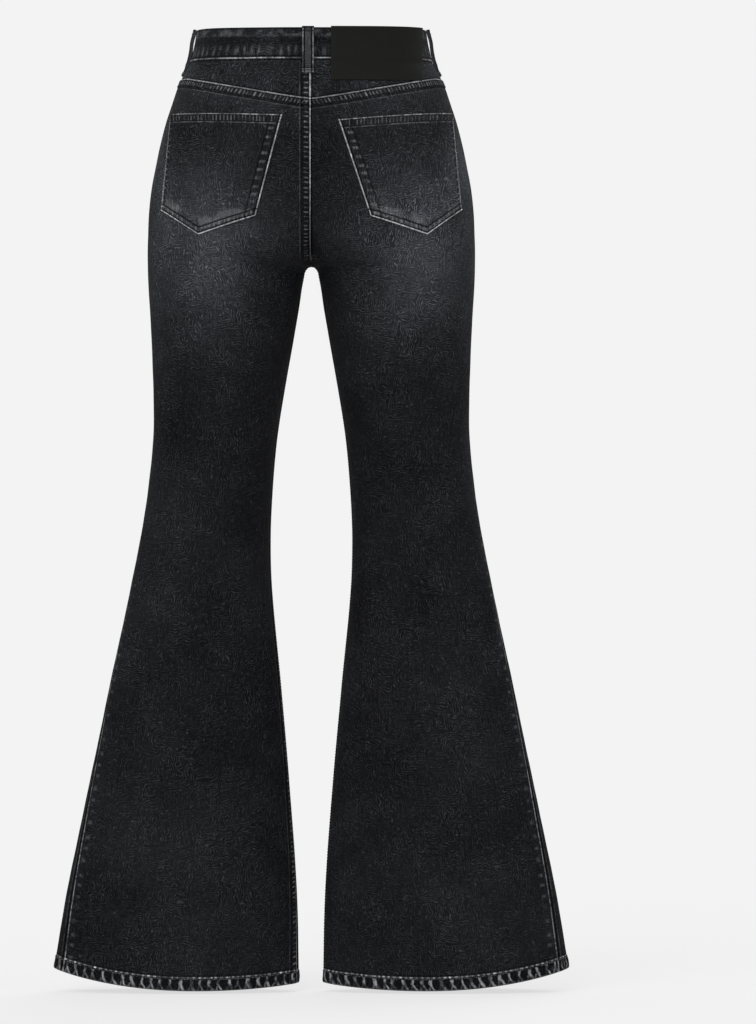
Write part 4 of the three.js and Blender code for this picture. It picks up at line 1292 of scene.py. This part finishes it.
def loop_wall(name, hand, place_at):
    """One strap as a wall: place_at gives the cloth and its normal at millimetres across."""
    heights = [np.linspace(LOOP_TOP, -3, 10), np.linspace(-3.8, -51.5, 58), [-52.0, -52.3, LOOP_END_Z]]
    across = np.concatenate([[-6.9, -6.7, -6.3], np.linspace(-5.8, 5.8, 21), [6.3, 6.7, 6.9]])
    z, across = np.meshgrid(np.concatenate(heights), across, indexing="ij")
    base, normal = place_at(z, across)
    off = np.interp(z, LOOP_HEIGHTS, LOOP_OFFSETS)
    for _ in range(3):
        off[1:-1] = (off[:-2] + 2 * off[1:-1] + off[2:]) / 4
    edge = LOOP_WIDTH / 2 - np.abs(across)
    top, foot = LOOP_TOP - z, z - LOOP_END_Z
    roll = round_edge(edge, 0.9) + round_edge(top, 0.7) + round_edge(foot, 0.7)
    roll = roll + LOOP_PRESSED * ease((-40 - z) / 7)
    relief = 0.25 * bell(np.abs(across) - 5.2, 1.0) - 0.3 * bell(foot - LOOP_FOOT_BAR, 1.0)
    relief = relief - 0.15 * bell(edge - 2.6, 0.5)
    outer = base + normal * (off + LOOP_WALL + relief - roll)[..., None]
    inner = base + normal * (off + 0.5 * round_edge(edge, 0.9))[..., None]
    grid = with_normals(outer, normal)
    sew(grid, foot, 0, LOOP_FOOT_BAR, hand, 0.8, 0.02, True)
    sew(grid, top, 0, LOOP_TOP_BAR, hand, 0.8, 0.0, True)
    piece = cloth_piece(
        name + "_cloth", outer, inner, hand, loop_denim,
        edges=(edge, 0, top), run=(across, top, foot), wear=(INK + 0.008, 0, 0),
    )


def loop_at(middle_of):
    """A loop round a middle angle, laid out by the cloth's length per degree there."""
    def place_at(z, across):
        middle = middle_of(z)
        reach = np.linalg.norm(cloth(middle + 2, z) - cloth(middle - 2, z), axis=-1)
        angle = middle + across * 4 / reach
        return cloth(angle, z), cloth_normal(angle, z)
    return place_at


def centre_back_at(z, across):
    """The centre-back loop crosses the middle, so it is laid out by distance from there."""
    x = 3.0 - across
    angle = np.minimum(angle_at_x(np.maximum(np.abs(x), 0.4), z, BACK), 358.5)
    base, normal = cloth(angle, z), cloth_normal(angle, z)
    base[..., 0] = x
    return base, normal


for side, hand in HANDS.items():
    loop_wall(f"belt_loop_side_{side}", hand, loop_at(lambda z: np.full_like(z, 180.0)))
    loop_wall(f"belt_loop_front_{side}", hand, loop_at(lambda z: angle_at_x(72, z, FRONT)))
loop_wall("belt_loop_back", 1, centre_back_at)


# The label patch. A plain black leather rectangle sewn over the waistband and the right yoke,
# bare and nearly flat, with softly rounded cut edges.

PATCH_WALL = 1.3
PATCH_GAP = 0.7
PATCH = {"inner": 23, "outer": 125.7, "top": 1, "bottom": -60.7}


def patch_leather():
    """Smooth black leather: a fine pebble in the bump and a faint unevenness in the tone."""
    material, start = new_material("patch_leather")
    place = start.node("ShaderNodeTexCoord", output=3)
    edge = start.attribute("edges").parts()[0]
    cells = {"Vector": place, "Scale": 1100.0}
    pebble = start.node("ShaderNodeTexVoronoi", {"feature": "F1"}, cells)
    tone = 0.0085 + (place.noise(60, 2.0) - 0.5) * 0.002 + line_at(edge, 0.3, 0.4) * 0.004
    colour = tone.tinting((1.02, 1.0, 0.94))
    height = pebble * 0.12 + place.noise(45, 1.0) * 0.2
    sockets = {"Base Color": colour, "Roughness": 0.7, "Specular IOR Level": 0.05}
    return surfaced(material, start, sockets, {"Height": height, "Strength": 0.35, "Distance": 0.0005})


def label_patch():
    """The patch as a wall over the band's step: linear between its side edges at each height."""
    z = np.concatenate([[1, 0.7, 0.2], np.linspace(-0.6, -60, 60), [-60.5, PATCH["bottom"]]])[:, None]
    share = np.concatenate([[0, 0.003, 0.008], np.linspace(0.016, 0.984, 74), [0.992, 0.997, 1]])
    x = mix(PATCH["outer"], PATCH["inner"], share)
    z = np.broadcast_to(z, (len(z), len(x))).astype(float)
    base, normal, around, _ = cloth_grid(angle_at_x(x, z, BACK), z)
    sides = np.minimum(around, around[:, -1:] - around)
    edge = np.minimum(sides, np.minimum(PATCH["top"] - z, z - PATCH["bottom"]))
    under = PATCH_GAP + BAND_PROUD * (1 - ease((-BAND_HEIGHT - z + 2) / 8))
    outer = base + normal * (under + PATCH_WALL - round_edge(edge, 0.6))[..., None]
    inner = base + normal * under[..., None]
    marks = (edge, around, PATCH["top"] - z)
    return cloth_piece("label_patch_leather", outer, inner, HANDS["right"], patch_leather(), edges=marks)


piece = label_patch()


# The waist button. A turned tack button of dark antique metal on a short shank, driven
# through the waistband's lapping end. Its face is plain.

BUTTON_Z = -18


def antique_metal():
    """Dark metal with a fine grain in its tone, its roughness and its bump."""
    material, start = new_material("antique_metal")
    place = start.node("ShaderNodeTexCoord", output=3)
    grain = place.noise(700, 2.0)
    colour = (0.03 + 0.045 * grain).tinting((1.0, 0.97, 0.93))
    sockets = {"Base Color": colour, "Metallic": 0.9, "Roughness": 0.3 + 0.25 * grain}
    return surfaced(material, start, sockets, {"Height": grain, "Strength": 0.2, "Distance": 0.0002})


def waist_button():
    """A profile of radius and height turned round the band's normal at the button."""
    profile = np.array([
        (0, 0), (3.4, 0), (3.5, 0.2), (3.5, 0.9), (7.6, 0.9), (8.2, 1.1), (8.5, 1.6), (8.5, 2.4),
        (8.3, 2.9), (7.8, 3.3), (7.2, 3.4), (6.6, 3.3), (6.1, 2.9), (5.7, 2.7), (3, 2.9), (1.2, 3.1),
        (0, 3.15),
    ])
    z = np.array([float(BUTTON_Z)])
    angle = angle_at_x(3.0, z, FRONT)
    mirror = np.array([-1, 1, 1])
    normal = (cloth_normal(angle, z) * mirror)[0]
    seat = (cloth(angle, z) * mirror)[0] + normal * (BAND_PROUD + SEAM_GAP)
    across = unit(np.cross(normal, (0, 0, 1)))
    upwards = np.cross(across, normal)
    turns = np.radians(np.arange(0, 360, 7.5))[None, :, None]
    ring = np.cos(turns) * across + np.sin(turns) * upwards
    points = seat + profile[:, None, :1] * ring + profile[:, None, 1:] * normal
    rows, columns = points.shape[:2]
    r, c = np.meshgrid(np.arange(rows - 1), np.arange(columns), indexing="ij")
    onwards = (c + 1) % columns
    near, under = r * columns, (r + 1) * columns
    faces = np.stack([near + c, near + onwards, under + onwards, under + c], axis=-1)
    mesh = bpy.data.meshes.new("waist_button_metal")
    mesh.from_pydata(points.reshape(-1, 3) * 0.001, [], faces.reshape(-1, 4))
    shell = bmesh.new()
    shell.from_mesh(mesh)
    bmesh.ops.remove_doubles(shell, verts=shell.verts, dist=1e-6)
    bmesh.ops.recalc_face_normals(shell, faces=shell.faces)
    shell.to_mesh(mesh)
    shell.free()
    piece = new_piece("waist_button_metal", mesh, antique_metal(), 40)
    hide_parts("waist_button")


waist_button()


# The stitching. Black cotton thread in rows of lockstitch, sunk a little into the seams, with
# close bars across the loops' ends and the pockets' corners. At the hems it is rubbed pale.

STITCH_PITCH = 3.4
STITCH_HALF = 1.4
BAR_PITCH = 0.85
BAR_HALF = 1.2
THREAD_RADIUS = 0.3
THREAD_SIDES = 5


def sewing_thread():
    """Black cotton thread, rubbed pale where the points' paleness says."""
    material, start = new_material("sewing_thread")
    place = start.node("ShaderNodeTexCoord", output=3)
    pale = start.attribute("paleness", 2)
    grain = place.noise(1400, 1.0)
    tone = 0.006 + grain * 0.006 + pale * place.noise(150, 1.0).soft(0.35, 0.6) * (0.4 + grain)
    sockets = {"Base Color": tone.tinting(BARE_TINT), "Roughness": 0.75, "Specular IOR Level": 0.15}
    return surfaced(material, start, sockets, {"Height": grain, "Strength": 0.4, "Distance": 0.0002})


def at_length(values, length, at):
    """Values that are known at some lengths along a line, read at others."""
    return np.stack([np.interp(at, length, column) for column in values.T], axis=-1)


def stitches_on(line, hand, trim, bar):
    """Points of a line's stitches: each is a tube of four rings that rises from the cloth and sinks."""
    mirror = np.array([hand, 1, 1])
    points, normals = line[:, :3] * mirror, line[:, 3:] * mirror
    length = run_length(points, 0)
    first, last = trim, length[-1] - trim
    count = max(int((last - first) / (BAR_PITCH if bar else STITCH_PITCH)), 1)
    at = first + (np.arange(count) + 0.5) * (last - first) / count
    middle = at_length(points, length, at)
    along = unit(at_length(points, length, at + 0.8) - at_length(points, length, at - 0.8))
    normal = unit(at_length(normals, length, at))
    if bar:
        along = unit(np.cross(normal, along))
    across = unit(np.cross(normal, along))
    half = BAR_HALF if bar else STITCH_HALF
    reach = np.array([-half, -0.6 * half, 0.6 * half, half])[None, :, None, None]
    rise = np.array([-0.35, 0.14, 0.14, -0.35])[None, :, None, None]
    turn = np.arange(THREAD_SIDES) * 2 * np.pi / THREAD_SIDES
    turn = turn[None, None, :, None]
    middle, along, normal, across = (v[:, None, None, :] for v in (middle, along, normal, across))
    ring = THREAD_RADIUS * (np.cos(turn) * across + np.sin(turn) * normal)
    return middle + along * reach + normal * rise + ring


def stitching():
    """All the threads as one piece, with the same few faces for each stitch."""
    tubes, paleness = [], []
    for line, hand, trim, pale, bar in sewn_lines:
        tubes.append(stitches_on(line, hand, trim, bar))
        paleness.append(np.full(tubes[-1].shape[:3], pale))
    points = np.concatenate(tubes) * 0.001
    side = np.arange(THREAD_SIDES)
    onwards = (side + 1) % THREAD_SIDES
    ring = np.stack([side, onwards, THREAD_SIDES + onwards, THREAD_SIDES + side], axis=-1)
    sides = np.concatenate([ring + THREAD_SIDES * k for k in range(3)])
    first = (np.arange(len(points)) * 4 * THREAD_SIDES)[:, None, None]
    quads = (first + sides).reshape(-1, 4).tolist()
    ends = (first + np.stack([side[::-1], side + 3 * THREAD_SIDES])).reshape(-1, THREAD_SIDES).tolist()
    mesh = bpy.data.meshes.new("topstitching")
    mesh.from_pydata(points.reshape(-1, 3), [], quads + ends)
    values = np.concatenate(paleness).ravel()
    mesh.attributes.new("paleness", "FLOAT", "POINT").data.foreach_set("value", values)
    new_piece("topstitching", mesh, sewing_thread())


stitching()
